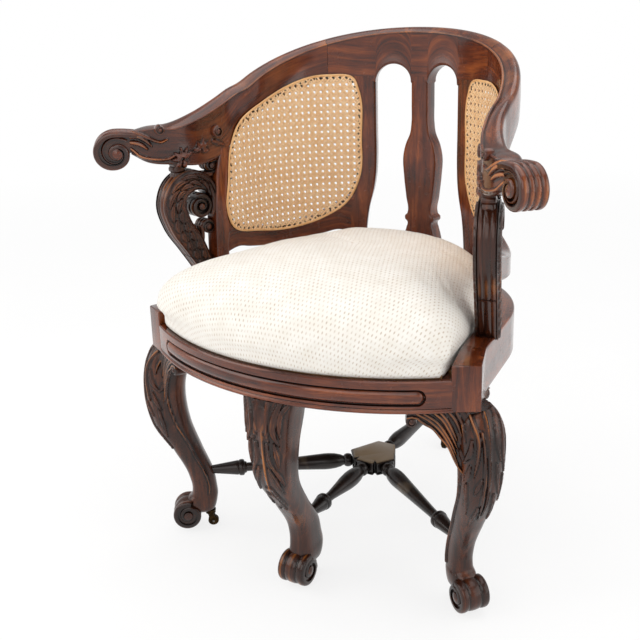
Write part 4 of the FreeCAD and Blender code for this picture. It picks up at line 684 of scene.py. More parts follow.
# Sections of the legs: height, front and back from the hub, width
HEEL = [(46, 331, 279, 40), (37, 326, 282, 36), (32, 316, 287, 28)]
LEG_SECTIONS = [
    (341, 361, 300, 36), (331, 369, 303, 52), (318, 375, 306, 61), (265, 383, 318, 60), (205, 374, 314, 51),
    (150, 345, 297, 42), (100, 323, 280, 36), (76, 319, 277, 36), (64, 321, 276, 37), (56, 328, 277, 40),
    *HEEL,
]
FRONT_SECTIONS = [
    (341, 400, 338, 83), (318, 407, 332, 76), (265, 408, 343, 65), (205, 397, 343, 53), (150, 361, 314, 42),
    (100, 334, 281, 37), (76, 331, 275, 37), (64, 332, 272, 38), (56, 333, 273, 40), (46, 332, 276, 40),
    (37, 326, 280, 36), (32, 316, 285, 28),
]
BACK_SECTIONS = [
    (341, 197, 148, 58), (280, 217, 168, 50), (200, 247, 201, 42), (130, 281, 238, 37), (75, 312, 271, 35),
    (62, 320, 274, 36), (54, 328, 277, 40), *HEEL,
]
LEG_ROWS = 300
LEG_COLUMNS = 150
TOE_REACH = 328.0
TOE_HEIGHT = 31.0
# Reach of a toe's scroll at each quarter turn, from its top over its front
TOE_RADII = [26, 25.5, 25, 22, 18, 14.5, 11, 8]
TOE_RIBS = [(-0.74, 0.26), (-0.02, 0.4), (0.72, 0.28)]
TOE_WIDE = 46.0

# Leaf on the front knee, right of its vein: (way down, way round), half widths
FRONT_LEAF = [
    ([(-2, 15), (20, 11.5), (42, 12), (60, 17)], [4.0, 4.4, 4.0, 0.8]),
    ([(-2, 33), (22, 25), (42, 23), (66, 31)], [4.0, 5.0, 5.0, 0.8]),
    ([(2, 44), (16, 35), (37, 32), (54, 33)], [3.6, 4.0, 3.6, 0.8]),
    ([(62, 24), (80, 26), (102, 27)], [2.0, 4.6, 0.8]),
    ([(64, 13), (90, 14), (112, 25)], [2.6, 4.2, 0.8]),
    ([(104, 12), (128, 20), (152, 24)], [2.4, 3.8, 0.8]),
    ([(100, 18), (118, 26), (138, 30)], [2.0, 3.4, 0.8]),
    ([(142, 8), (166, 12), (190, 15)], [2.2, 3.2, 0.6]),
    ([(160, 5), (182, 7), (204, 9)], [2.0, 2.6, 0.6]),
]
FRONT_VEIN = 3.5

# Carving on a corner knee: (way down, way round from the arris, minus to the front), half widths, groove
CORNER_CARVING = [
    ([(0, -62), (20, -55), (38, -49), (52, -49)], [3.4, 3.4, 2.8, 0.8], 0.0),
    ([(0, -47), (24, -39), (46, -37)], [3.6, 3.4, 1.0], 0.0),
    ([(0, -25), (21, -20), (35, -17), (67, -19), (96, -24)], [3.6, 3.4, 3.0, 2.6, 0.8], 0.0),
    ([(54, -58), (67, -52), (78, -42)], [2.4, 4.6, 1.6], 0.35),
    ([(42, -26), (60, -30), (77, -41)], [2.4, 4.6, 1.6], 0.35),
    ([(80, -30), (93, -33), (112, -39)], [2.0, 4.4, 1.0], 0.4),
    ([(100, -13), (112, -17), (126, -21)], [2.0, 3.8, 1.0], 0.4),
    ([(112, -35), (137, -33), (168, -25)], [2.0, 3.6, 0.8], 0.3),
    ([(150, -12), (172, -13), (196, -14)], [2.0, 3.0, 0.6], 0.3),
    ([(30, -11), (73, -9), (97, -8), (138, -8), (180, -5)], [2.2, 2.6, 2.6, 2.2, 0.8], 0.0),
    ([(18, -64), (50, -55), (90, -53), (130, -53), (170, -51), (215, -43), (290, -39)],
     [2.0, 2.2, 2.0, 1.6], 0.0),
    ([(0, 15), (30, 11), (52, 11), (76, 16)], [3.4, 3.6, 3.2, 0.8], 0.3),
    ([(0, 29), (36, 24), (70, 22), (96, 27)], [3.4, 3.8, 3.4, 0.8], 0.3),
    ([(0, 45), (40, 38), (78, 34), (110, 36)], [3.4, 3.8, 3.4, 0.8], 0.3),
    ([(78, 9), (104, 12), (130, 17)], [2.0, 3.8, 0.8], 0.4),
    ([(98, 23), (122, 24), (148, 25)], [2.0, 3.6, 0.8], 0.4),
    ([(128, 8), (154, 10), (184, 12)], [2.0, 3.2, 0.6], 0.4),
]


def front_ridges():
    """Double vein of the front knee with the leaf on both its sides."""
    ridges = []
    vein = [(-2, 1.9), (110, 1.8), (226, 0.8)]
    for side in (-1, 1):
        line = [(down, FRONT_VEIN + side * off) for down, off in vein]
        ridges.append((line, [1.8, 1.6, 0.6], 3.0, 0.0))
        for axis, width in FRONT_LEAF:
            line = [(down, FRONT_VEIN + side * (off - FRONT_VEIN)) for down, off in axis]
            ridges.append((line, width, 3.6, 0.45))
    return ridges


def corner_ridges():
    """Beaded arris of a corner knee with its flutes, lobes and reeds."""
    ridges = [(axis, width, 3.2, groove) for axis, width, groove in CORNER_CARVING]
    for down in range(2, 170, 6):
        ridges.append(([(down, -2), (down + 4, -2)], [2.2, 2.2], 2.6, 0.0))
    return ridges


def leg_shell(sections, inset, power, ridges):
    """Leg standing straight ahead of the hub, with its carving, from the rail down to the heel."""
    rows = curve([(0, -front, height, back, width) for height, front, back, width in sections], LEG_ROWS)
    front = -rows[:, 1] - inset
    back = rows[:, 3] - inset
    middle = (front + back) / 2
    loop = round_section(rows[:, 4] / 2, (front - back) / 2, LEG_COLUMNS, power)
    points = stacked(loop[..., 0], loop[..., 1] - middle[:, None], rows[:, 2:3])
    nose = np.argmin(points[:, :, 1].mean(axis=0))
    points = np.roll(points, -nose, axis=1)
    steps = np.linalg.norm(np.roll(points, -1, axis=1) - points, axis=-1)
    around = np.concatenate([np.zeros((len(rows), 1)), np.cumsum(steps, axis=1)[:, :-1]], axis=1)
    total = steps.sum(axis=1, keepdims=True)
    around = np.where(around > total / 2, around - total, around)
    down = arc_length(points[:, 0])
    place = stacked(down[:, None], around)
    height, wear_and_painted_light = carve(place, ridges)
    points = points + outward_normals(points) * height[..., None]
    shell = Shell().grid(points, points[..., [2, 0, 1]], wear_and_painted_light)
    toe = (0, inset - TOE_REACH, TOE_HEIGHT)
    scroll(shell, toe, (0, -1), TOE_RADII, TOE_WIDE, TOE_RIBS, 9.0, 2.2, 105.0, sink=2.5)
    return shell


def turn_shell(shell, angle):
    """Shell turned about the hub from straight ahead."""
    cos, sin = math.cos(angle), math.sin(angle)
    spin = np.array([[cos, -sin, 0], [sin, cos, 0], [0, 0, 1]])
    shell.points = [points @ spin.T for points in shell.points]
    return shell


BLOCK_CORNERS = np.array([(289.0, -222.8), (253.0, -243.7), (231.6, -161.6), (267.0, -156.0)])


def rounded_loop(corners, radius, steps=6):
    """Closed outline with rounded corners."""
    points = []
    for index, corner in enumerate(corners):
        before = unit(corners[index - 1] - corner)
        after = unit(corners[(index + 1) % len(corners)] - corner)
        half = math.acos(np.clip(before @ after, -1, 1)) / 2
        cut = radius / math.tan(half)
        start = corner + before * cut
        end = corner + after * cut
        for t in np.linspace(0, 1, steps):
            points.append((1 - t) ** 2 * start + 2 * t * (1 - t) * corner + t * t * end)
    return np.array(points)


def prism(corners, levels, radius, wear_and_painted_light):
    """Upright block with rounded corners: levels of (height, draw in)."""
    middle = corners.mean(axis=0)
    rows = []
    for height, draw in levels:
        pulled = corners - unit(corners - middle) * draw * 1.35
        loop = rounded_loop(pulled, radius)
        rows.append(np.column_stack([loop, np.full(len(loop), height)]))
    points = np.stack(rows)
    return Shell().grid(points, points[..., [2, 0, 1]], wear_and_painted_light)


# Lower edge of an ear: distance from its tip and height
EAR_EDGE = [
    (0, 332), (6, 333.5), (13, 332.5), (22, 325), (37, 315), (46, 303), (58, 286.6), (66, 268), (76, 250),
    (88, 238), (102, 230),
]
# Flutes of an ear by the same measures
EAR_FLUTES = [
    [(12, 342), (31, 330), (46.5, 314.6), (58, 296), (66, 278), (72, 262)],
    [(22, 342), (43, 326), (56, 307), (63, 294), (70, 276)],
    [(37, 342), (50, 329.5), (59, 314), (66, 299), (72, 284)],
    [(46, 342), (55.5, 330), (64, 313.5), (71, 297)],
    [(58, 342), (67, 330), (74, 314), (77, 302)],
    [(68, 342), (78, 322), (83, 305), (84, 290)],
    [(83, 342), (92, 328), (96.5, 313), (98, 300)],
]
EAR_LENGTH = 102.0


def ear(shell, line):
    """Ear of a corner leg along a plan line from its tip to the arris: fluted, with a curled tip."""
    way = curve(line, 110, 2)
    along = arc_length(way) * EAR_LENGTH / arc_length(way)[-1]
    ahead = unit(np.gradient(way, axis=0))
    normal = stacked(ahead[:, 1], -ahead[:, 0])
    normal = normal * np.sign((normal * way).sum(axis=1))[:, None]
    foot = np.interp(along, *curve(EAR_EDGE, 90, 1).T)
    columns = 44
    high = np.concatenate([np.linspace(0, 1, columns), np.linspace(1, 0, 6)])
    front = np.arange(len(high)) < columns
    level = foot[:, None] + (RAIL_FOOT - 0.3 - foot)[:, None] * high
    place = stacked(along[:, None], level)
    rim = ([(far, height + 2.2) for far, height in EAR_EDGE], [2.4, 2.4], 2.6, 0.0)
    flutes = [(axis, [2.4, 2.8, 2.6, 1.2], 2.8, 0.0) for axis in EAR_FLUTES]
    relief, wear_and_painted_light = carve(place, [rim] + flutes)
    thick = 24.0
    ground = 2.6
    edge = 4.0
    off = np.where(front, relief - ground, -edge - (thick - edge) * high)
    plan = way[:, None] + off[..., None] * normal[:, None]
    run = stacked(level, along[:, None], off)
    shell.grid(np.concatenate([plan, level[..., None]], axis=-1), run, np.where(front, wear_and_painted_light, 0.3))
    curl = 8
    tip = np.append(way[curl] - normal[curl] * thick / 2, RAIL_FOOT - 12.5)
    scroll(shell, tip, -ahead[curl], [9, 9, 8.5, 7, 5.5, 4.5], thick, PLAIN_RIB, 4.0, 1.0)


def corner_leg():
    """Right corner leg with its ears."""
    shell = turn_shell(leg_shell(LEG_SECTIONS, CORNER_INSET, 2.5, corner_ridges()), CORNER_ANGLE)
    radius = BOW_RADIUS - 1.5
    bow = np.radians(np.linspace(28, 35.5, 7))
    under_rail = stacked(radius * np.sin(bow), BOW_CENTRE - radius * np.cos(bow))
    inset = unit(BLOCK_CORNERS.mean(axis=0) - BLOCK_CORNERS[0]) * 3
    arris = BLOCK_CORNERS[0] + inset
    ear(shell, np.concatenate([under_rail, [(under_rail[-1] + arris) / 2, arris]]))
    back = unit(BLOCK_CORNERS[3] - BLOCK_CORNERS[0])
    rail_way = np.array([-math.cos(FLARE), math.sin(FLARE)])
    corner = BLOCK_CORNERS[3] + inset
    side = [corner + rail_way * 31, corner + rail_way * 14, corner - back * 4, arris + back * 30, arris]
    ear(shell, np.array(side))
    return shell


def corner_block():
    """Square block on top of the right corner leg."""
    levels = [(RAIL_FOOT, 1.2), (342.2, 0), (407.4, 0), (408.6, 0.6), (RAIL_TOP, 1.6)]
    return prism(BLOCK_CORNERS, levels, 2.0, 0.44)


def front_leg():
    """Middle leg under the bow of the front rail."""
    return leg_shell(FRONT_SECTIONS, FRONT_INSET, 3.2, front_ridges())


def back_leg():
    """Plain leg under the middle of the back."""
    return turn_shell(leg_shell(BACK_SECTIONS, 0, 3.0, []), math.pi)


# Arm posts

POST_TURN = math.radians(19)
POST_FOOT = flare_place(69.8, -1.6)
POST_AHEAD = np.array([math.sin(POST_TURN), -math.cos(POST_TURN), 0.0])
POST_ACROSS = np.array([math.cos(POST_TURN), math.sin(POST_TURN), 0.0])
# Bands of a post: distance along the post, rise and width
POST_BAND = [
    (15, 0, 26), (42, 50, 28), (62, 88, 36), (85, 126, 38), (92.5, 159, 39), (82, 182, 38), (58, 193, 34),
    (36, 187, 26), (22.5, 170, 17), (20, 150, 11), (26, 133, 7),
]
BRACKET_STEM = [(68, 203, 9), (50, 202, 9), (34, 199, 8), (20, 198.5, 7)]
CURL_STEM = [(66, 64, 14), (54, 78, 11), (46, 92, 9), (44, 106, 7), (46, 116, 6)]
# Scrolls of a post: place and rise, 1 to wind forwards or -1 backwards, start, width and reach at
# each quarter turn
POST_SCROLLS = [
    (46, 149, -1, 110, 33, [22, 21, 19, 16.5, 14, 11, 8, 5.5]),
    (33, 113, -1, 180, 26, [13, 13, 12.5, 11, 9, 7, 5]),
    (20, 212, 1, 270, 26, [14, 14, 13, 11, 8.5, 6.5, 5]),
]
POST_RIBS = [(-0.62, 0.34), (0, 0.3), (0.62, 0.34)]
# Square neck of a post: rise and half sizes along and across it
POST_NECK = [
    (190, 11, 11), (203, 9.5, 10), (207, 8, 9), (210, 10.5, 11), (214, 10.5, 11), (217, 8.5, 10),
    (224, 12, 12), (230, 13, 13),
]
POST_NECK_ALONG = 78.0
POST_THICK = 36.0
STEM_THICK = 24.0


def post_place(along, rise):
    """Place in the middle of the right post's thickness."""
    along = np.asarray(along, float)[..., None]
    rise = np.asarray(rise, float)[..., None]
    foot = np.append(POST_FOOT, RAIL_TOP) + POST_ACROSS * POST_THICK / 2
    return foot + along * POST_AHEAD + rise * UP


def post_strip(shell, rows, thick, count, ridges=None, reeds=3):
    """Flat curled strip of a post, carved on both faces and reeded on its outer edge."""
    path = curve(rows, count, 2)
    places = post_place(path[:, 0], path[:, 1])
    heading = unit(np.gradient(path[:, :2], axis=0))
    side = heading[:, 1:2] * POST_AHEAD - heading[:, 0:1] * UP
    length = arc_length(path[:, :2])
    columns = 41
    reeded = 23
    part = np.linspace(-1, 1, columns)
    round_off = 1 - 0.22 * np.abs(part) ** 6
    edge = np.linspace(0.92, -0.92, reeded)
    wave = np.abs(np.sin(math.pi * reeds * (edge + 1) / 2)) ** 0.7
    half = path[:, 2:3] / 2
    outer = half + 1.4 * (wave - 1) - 3 * edge**4
    a = np.concatenate([half * part, outer, half * part[::-1], -half + 0 * edge], axis=1)
    b = np.concatenate([round_off, edge * 0.86, -round_off, -edge * 0.86]) * thick / 2
    b = np.broadcast_to(b, a.shape).copy()
    wear_and_painted_light = np.full(a.shape, 0.42)
    # Reed grooves darker than their ridges: painted shade in the grooves.
    wear_and_painted_light[:, columns:columns + reeded] = 0.3 + 0.3 * wave
    if ridges:
        relief, worn_and_lit = carve(stacked(length[:, None], a), ridges)
        face = np.zeros(a.shape[1], bool)
        margin = 2
        ground = 1.8
        face[margin:columns - margin] = True
        face[columns + reeded + margin:2 * columns + reeded - margin] = True
        b = b + np.where(face, (relief - ground) * np.sign(b), 0)
        wear_and_painted_light = np.where(face, worn_and_lit, wear_and_painted_light)
    points = places[:, None] + side[:, None] * a[..., None] + POST_ACROSS * b[..., None]
    shell.grid(points, stacked(length[:, None], a, b), wear_and_painted_light)


def post_leaves(length):
    """Two staggered rows of leaf lobes along a post's scroll."""
    lobes = []
    first_at = 4
    bare_end = 60
    pitch = 19.0
    for at in np.arange(first_at, length - bare_end, pitch):
        sweep = 1 + 0.8 * smooth(110, 170, at)
        narrow = 1 - 0.55 * smooth(190, 290, at)
        reach = 15 * sweep
        for row, shift in ((7.5, 0), (-5, pitch / 2)):
            middle = row * narrow
            lean = 2.6 * sweep * narrow
            first = at + shift
            half_way = first + reach / 2
            axis = [(first, middle + lean), (half_way, middle + 0.3 * lean), (first + reach, middle - lean)]
            lobes.append((axis, [1.4, 4.2 * narrow, 3.6 * narrow, 0.6], 3.6, 0.5))
    return lobes


def arm_post():
    """Right arm post: leafed scroll, bracket, small curl and the necked block under the arm."""
    shell = Shell()
    rows = 340
    path = curve(POST_BAND, rows, 2)
    post_strip(shell, POST_BAND, POST_THICK, rows, post_leaves(arc_length(path[:, :2])[-1]))
    post_strip(shell, BRACKET_STEM, STEM_THICK, 40)
    post_strip(shell, CURL_STEM, STEM_THICK, 60)
    for along, rise, way, start, wide, radii in POST_SCROLLS:
        centre = post_place(along, rise)
        scroll(shell, centre, way * POST_AHEAD, radii, wide, POST_RIBS, radii[0] * 0.32, 1.4, start)
    neck = np.array(POST_NECK)
    places = post_place(np.full(len(neck), POST_NECK_ALONG), neck[:, 0])
    loop = round_section(neck[:, 1], neck[:, 2], 32, 5.0)
    shell.grid(places[:, None] + loop[..., 0:1] * POST_AHEAD + loop[..., 1:2] * POST_ACROSS)
    return shell


# Rails

def front_rail():
    """Bowed front rail: plain band, sunk panel with round ends and a convex field, bead at the foot."""
    half_height = 12.5
    mid = 364.5
    rail_top = 388.0
    half_length = math.radians(31.5) * BOW_RADIUS
    angle = np.linspace(-36.4, 36.4, 420) * math.pi / 180
    level = np.concatenate([np.linspace(RAIL_FOOT, 350, 22), np.linspace(350.6, 378.4, 70),
                            np.linspace(379, rail_top, 12)])
    along = angle[:, None] * BOW_RADIUS
    straight = half_length - half_height
    gap = np.hypot(np.clip(np.abs(along) - straight, 0, None), level - mid)
    inside = half_height - gap
    field = 9.4
    lip = 2.6
    t = np.clip((inside - lip) / field, 0, 1)
    depth = -4.2 * smooth(0, 1.3, inside) + np.where(inside > lip, 6.0 * np.sqrt(1 - (1 - t) ** 2), 0)
    rise = level - RAIL_FOOT
    bead = np.where(rise < 6, np.sqrt(np.clip(9 - (rise - 3) ** 2, 0, None)) - 1.6, 0)
    lines = -1.1 * np.exp(-(((rise - 6.8) / 0.6) ** 2))
    top = -2 * smooth(rail_top - 2.5, rail_top, level) ** 2
    off = depth + bead + lines + top
    groove = (inside > 0.4) & (inside < 2.8)
    # Panel groove and the lines over the bead are painted darker: painted shade in them; the raised field
    # is a little lighter.
    wear_and_painted_light = 0.5 + 0.08 * smooth(0, 1, depth) - 0.42 * groove - 0.3 * (lines < -0.4)
    closing = np.array([(-4, rail_top), (-38, rail_top), (-40, rail_top - 2), (-40, RAIL_FOOT + 2),
                        (-38, RAIL_FOOT), (-4, RAIL_FOOT)])
    off = np.concatenate([off, np.broadcast_to(closing[:, 0], (len(angle), len(closing)))], axis=1)
    level = np.concatenate([level, closing[:, 1]])
    wear_and_painted_light = np.concatenate([wear_and_painted_light, np.full((len(angle), len(closing)), 0.5)], axis=1)
    radius = BOW_RADIUS + off
    x = radius * np.sin(angle)[:, None]
    y = BOW_CENTRE - radius * np.cos(angle)[:, None]
    return Shell().grid(stacked(x, y, level), stacked(along, off, level), wear_and_painted_light)


def board(along, inner, outer, foot, top, corner=2.5):
    """Curved board along the back with rounded edges."""
    wide = outer - inner
    flat = 6
    turn = np.linspace(0, math.pi / 2, 5)
    cut = corner * (1 - np.cos(turn))
    rise = corner * (1 - np.sin(turn))
    out = np.concatenate([cut[::-1], np.full(flat, 0.0), cut,
                          wide - cut[::-1], np.full(flat, wide), wide - cut])
    deep = (top - foot)[:, None]
    low = rise[::-1]
    sides = np.linspace(0.1, 0.9, flat)
    level = np.concatenate([low + 0 * deep, sides * deep, deep - rise,
                            deep - low, sides[::-1] * deep, rise + 0 * deep], axis=1)
    points = back_place(along[:, None], inner + out, foot[:, None] + level)
    return Shell().grid(points, stacked(along[:, None], out, level))


def side_rail():
    """Right side rail from the middle of the back to the corner block."""
    along = np.concatenate([np.linspace(0.15, FLARE_ALONG, 90), [FLARE_ALONG + 70, FLARE_ALONG + 142]])
    top = np.zeros(len(along))
    return board(along, -4.0, 32.0, top + RAIL_FOOT - RAIL_TOP, top)


def upright(rows, count, first=0.3, last=29.7):
    """Upright of the back from rows of (rise, left edge, right edge), with rounded arrises."""
    rise, left, right = curve(rows, count, 1).T
    corner = 4.5
    turn = np.linspace(0, math.pi / 2, 6)
    inset = corner * (1 - np.sin(turn))
    depth = corner * (1 - np.cos(turn))
    face = np.linspace(0, 1, 8)[1:-1]
    wide = (right - left)[:, None]
    thick = last - first
    flat = (wide - 2 * corner) * face
    u = np.concatenate([inset[::-1] + 0 * wide, corner + flat, wide - inset,
                        wide - inset[::-1], wide - corner - flat, inset + 0 * wide], axis=1)
    bulge = -0.8 * np.sin(math.pi * face)
    o = np.concatenate([depth[::-1], bulge, depth, thick - depth[::-1], thick - bulge, thick - depth])
    points = back_place(left[:, None] + u, first + o, rise[:, None])
    return Shell().grid(points, stacked(rise[:, None], left[:, None] + u, o))


def splat():
    """Vase splat in the middle of the back, from its rises and half widths."""
    half = [(0, 34), (30, 31.5), (57, 29.5), (74, 25), (82, 23), (85, 24), (88, 27.2), (92, 28),
            (95.5, 27.2), (98, 24), (101, 23), (130, 25.6), (165, 29.4), (203, 30.5), (222, 26),
            (240, 18.5), (259, 15.8), (290, 15.5), (337, 15.5)]
    return upright([(rise, -wide, wide) for rise, wide in half], 200)


def inner_stile():
    """Right stile between the slot and the cane."""
    rows = [(0, 98, 130), (60, 97, 129.4), (108, 91, 127.8), (141, 83, 118), (165, 79.5, 112.5),
            (192, 78, 110), (250, 78, 110), (300, 78, 110.2), (320, 78, 113), (337, 78, 124)]
    return upright(rows, 120)


def outer_stile():
    """Right stile at the front edge of the cane."""
    inner = FLARE_ALONG + 66
    outer = FLARE_ALONG + 93
    falls = [(0, 0, 0), (60, 0, 0), (86, 2, 0.6), (111, 6, 1.5), (155, 9, 4), (198, 14, 9), (239, 22, 20)]
    rows = [(rise, inner - before, outer - after) for rise, before, after in falls]
    return upright(rows, 110, 0.0, 26.0)


def lower_rail():
    """Right lower rail under the cane, with its shaped foot."""
    inner = 114.0
    outer = FLARE_ALONG + 84
    span = outer - inner
    top = [(inner, 136), (128, 127), (181, 98), (240, 88), (305, 95), (372, 117), (outer, 126)]
    shares = [(0, 59), (0.06, 64), (0.12, 67), (0.2, 63), (0.38, 55.5), (0.58, 55.5), (0.76, 63),
              (0.84, 68), (0.93, 65), (1, 59)]
    foot = [(inner + span * share, rise) for share, rise in shares]
    along = np.linspace(inner, outer, 110)
    high = np.interp(along, *curve(top, 60, 1).T)
    low = np.interp(along, *curve(foot, 80, 1).T)
    return board(along, 0.3, 24.0, low, high, 4.0)


# Cane

# Outline of the right cane panel: distance along the back and rise
CANE_OUTLINE = [
    (106, 166), (103, 230), (106, 312), (115, 334), (160, 341), (285, 305), (350, 269), (366, 240),
    (376, 180), (382, 142), (371, 108), (305, 86), (240, 79), (181, 89), (130, 118),
]
CANE_PITCH = 11.4
# Widths of the upright and level strands, and of the diagonal ones
STRAND_WIDE = 3.1
DIAGONAL_WIDE = 3.4
# How far the strands lie ahead of the back's inner face
STRAND_AHEAD = 1.4
# How far the ring of holes lies inside the outline
HOLE_RING = 6.2
# Section of a strand: share of its width across, and height
STRAND_SECTION = np.array([
    (-0.5, -0.28), (0.0, -0.34), (0.5, -0.28), (0.5, 0.12), (0.0, 0.28), (-0.5, 0.12),
])


def inside(points, loop):
    """Which flat points lie inside a closed outline."""
    result = np.zeros(len(points), bool)
    for (x0, y0), (x1, y1) in zip(loop, np.roll(loop, -1, axis=0)):
        crosses = (y0 > points[:, 1]) != (y1 > points[:, 1])
        at = x0 + (points[:, 1] - y0) * (x1 - x0) / (y1 - y0 + 1e-12)
        result ^= crosses & (points[:, 0] < at)
    return result


def cane_loop(draw):
    """Smooth closed outline of the panel, drawn in."""
    rows = np.array(CANE_OUTLINE, float)
    closed = np.concatenate([rows[-2:], rows, rows[:3]])
    lengths = arc_length(closed)
    knots = lengths / lengths[-1]
    keep = np.linspace(knots[2], knots[len(rows) + 2], 260, endpoint=False)
    loop = curve(closed, keep, 2)
    return loop + loop_normals(loop) * draw


def strand(shell, start, end, loop, wide, lift, phase):
    """Cane strand between two flat places, kept inside the outline, over and under its neighbours."""
    length = math.dist(start, end)
    spacing = 1.9
    least = 4
    count = max(int(length / spacing), least)
    share = np.linspace(0, 1, count)[:, None]
    flat = np.asarray(start) * (1 - share) + np.asarray(end) * share
    held = inside(flat, loop)
    edges = np.flatnonzero(np.diff(np.concatenate([[0], held.astype(int), [0]])))
    step = unit(np.asarray(end, float) - np.asarray(start, float))
    side = np.array([-step[1], step[0]])
    for first, last in zip(edges[::2], edges[1::2]):
        if last - first < least:
            continue
        picks = np.unique(np.append(np.arange(first, last, 2), last - 1))
        run = flat[picks]
        away = share[picks, 0] * length
        high = lift + 0.35 * np.sin(away * 2 * math.pi / CANE_PITCH + phase)
        across = STRAND_SECTION[:, 0] * wide
        spread = run[:, None] + across[:, None] * side
        out = high[:, None] - STRAND_SECTION[:, 1] - STRAND_AHEAD
        points = back_place(spread[..., 0], out, spread[..., 1])
        grain = stacked(away[:, None] + 13 * phase, across + 7 * first, out)
        # Strand edges get a low wear value, which the cane material darkens.
        shell.grid(points, grain, [0.5, 0.5, 0.5, 0.1, 0.8, 0.1])


def cane_panel():
    """Right panel in six-way weave, with a ring of small dark holes along its edge."""
    shell = Shell()
    loop = cane_loop(1.0)
    low = loop.min(axis=0) - 2
    high = loop.max(axis=0) + 2
    pair = 1.9
    for at in np.arange(low[0], high[0], CANE_PITCH):
        for shift in (-pair, pair):
            strand(shell, (at + shift, low[1]), (at + shift, high[1]), loop, STRAND_WIDE, 0.15, shift)
    for at in np.arange(low[1], high[1], CANE_PITCH):
        for shift in (-pair, pair):
            strand(shell, (low[0], at + shift), (high[0], at + shift), loop, STRAND_WIDE, 0.0, shift + 2)
    tall = high[1] - low[1]
    for at in np.arange(low[0] - tall - CANE_PITCH / 2, high[0] + tall, CANE_PITCH):
        strand(shell, (at, low[1]), (at + tall, high[1]), loop, DIAGONAL_WIDE, -0.4, 0.7)
        strand(shell, (at + tall, low[1]), (at, high[1]), loop, DIAGONAL_WIDE, -0.55, 2.1)
    turn = np.linspace(0, 2 * math.pi, 10, endpoint=False)
    rings = np.array([(1.9, -1.2), (1.7, -2.2), (0.2, -2.4)])
    # Hole dishes get wear 0, which the cane material paints near black: painted shade inside the holes.
    for along, rise in cane_loop(HOLE_RING)[::3]:
        flat = rings[:, 0:1] * np.array([np.cos(turn), np.sin(turn)])[:, None]
        shell.grid(back_place(along + flat[0], rings[:, 1:2] + 0 * flat[0], rise + flat[1]), wear_and_painted_light=0.0)
    return shell


def cane_binder():
    """Flat cane that covers the ends of the strands."""
    half_wide = 2.0
    half_thick = 1.1
    ahead = 1.5
    rim = cane_loop(half_wide)
    side = loop_normals(rim)
    turn = np.linspace(0, 2 * math.pi, 12, endpoint=False)
    across = half_wide * np.cos(turn)
    out = -ahead - half_thick * np.sin(turn)
    flat = rim[:, None] + across[:, None] * side[:, None]
    points = back_place(flat[..., 0], out, flat[..., 1])
    points = np.concatenate([points, points[:1]])
    length = arc_length(np.concatenate([rim, rim[:1]]))
    return Shell().grid(points, stacked(length[:, None], across, out), caps=False)


# Seat

SEAT_CENTRE = np.array([0.0, -60.0])
# Gap between the seat's plan and the curves of the front rail and the back
SEAT_CLEAR = 5.0


def seat_outline(draw, count=160):
    """Plan outline of the seat, drawn in, by even angles round its centre."""
    turn = np.linspace(0, 2 * math.pi, count, endpoint=False)
    way = stacked(np.sin(turn), -np.cos(turn))

    def circle(middle, radius):
        off = SEAT_CENTRE - middle
        b = way @ off
        return -b + np.sqrt(np.clip(b * b - off @ off + radius * radius, 0, None))

    ahead = unit(BLOCK_CORNERS[1] - BLOCK_CORNERS[2])
    ahead = unit(ahead + 3 * np.array([math.cos(FLARE), -math.sin(FLARE)]))
    outward = np.array([-ahead[1], ahead[0]])
    best = circle(np.array([0, BOW_CENTRE]), BOW_RADIUS - SEAT_CLEAR - draw)
    behind = way[:, 1] > 0.17
    round_back = circle(np.array([0, BACK_CENTRE]), BACK_RADIUS - SEAT_CLEAR - draw)
    best = np.where(behind, np.minimum(best, round_back), best)
    for mirror in (np.array([1.0, 1.0]), np.array([-1.0, 1.0])):
        base = (BLOCK_CORNERS[2] - outward * (2 + draw)) * mirror
        normal = outward * mirror
        speed = way @ normal
        reach = ((base - SEAT_CENTRE) @ normal) / np.where(speed > 1e-3, speed, np.nan)
        best = np.fmin(best, np.where(reach > 0, reach, np.inf))
    return way, best


# Angle of the sharp edges on cloth, in degrees
SOFT_SHARP = 80
SEAT_FOOT = 388.6
SEAT_REACH = 215.0
# Side of the seat: draw in from the outline, and height
SEAT_SIDE = [
    (7, SEAT_FOOT), (2, 390), (0, 395), (-0.5, 408), (-2.5, 417), (-3, 430), (-1, 446), (6, 462), (20, 478),
    (50, 494), (100, 505), (160, 510),
]
# How far the top of the seat falls to the back, the left and the right
SEAT_FALLS = (4, 10, 2)
CORNER_BULGE = 11
BULGE_ANGLE = math.radians(52)
BULGE_SPREAD = math.radians(14)


def corner_bulge(way):
    """How far the cover swells over the rails at its front corners."""
    turn = np.abs(np.arctan2(way[:, 0], -way[:, 1]))
    return CORNER_BULGE * np.exp(-(((turn - BULGE_ANGLE) / BULGE_SPREAD) ** 2))


def seat_ring(way, reach, level):
    """Ring of places round the seat's centre."""
    plan = SEAT_CENTRE + way * reach[:, None]
    return stacked(plan[:, 0], plan[:, 1], level)


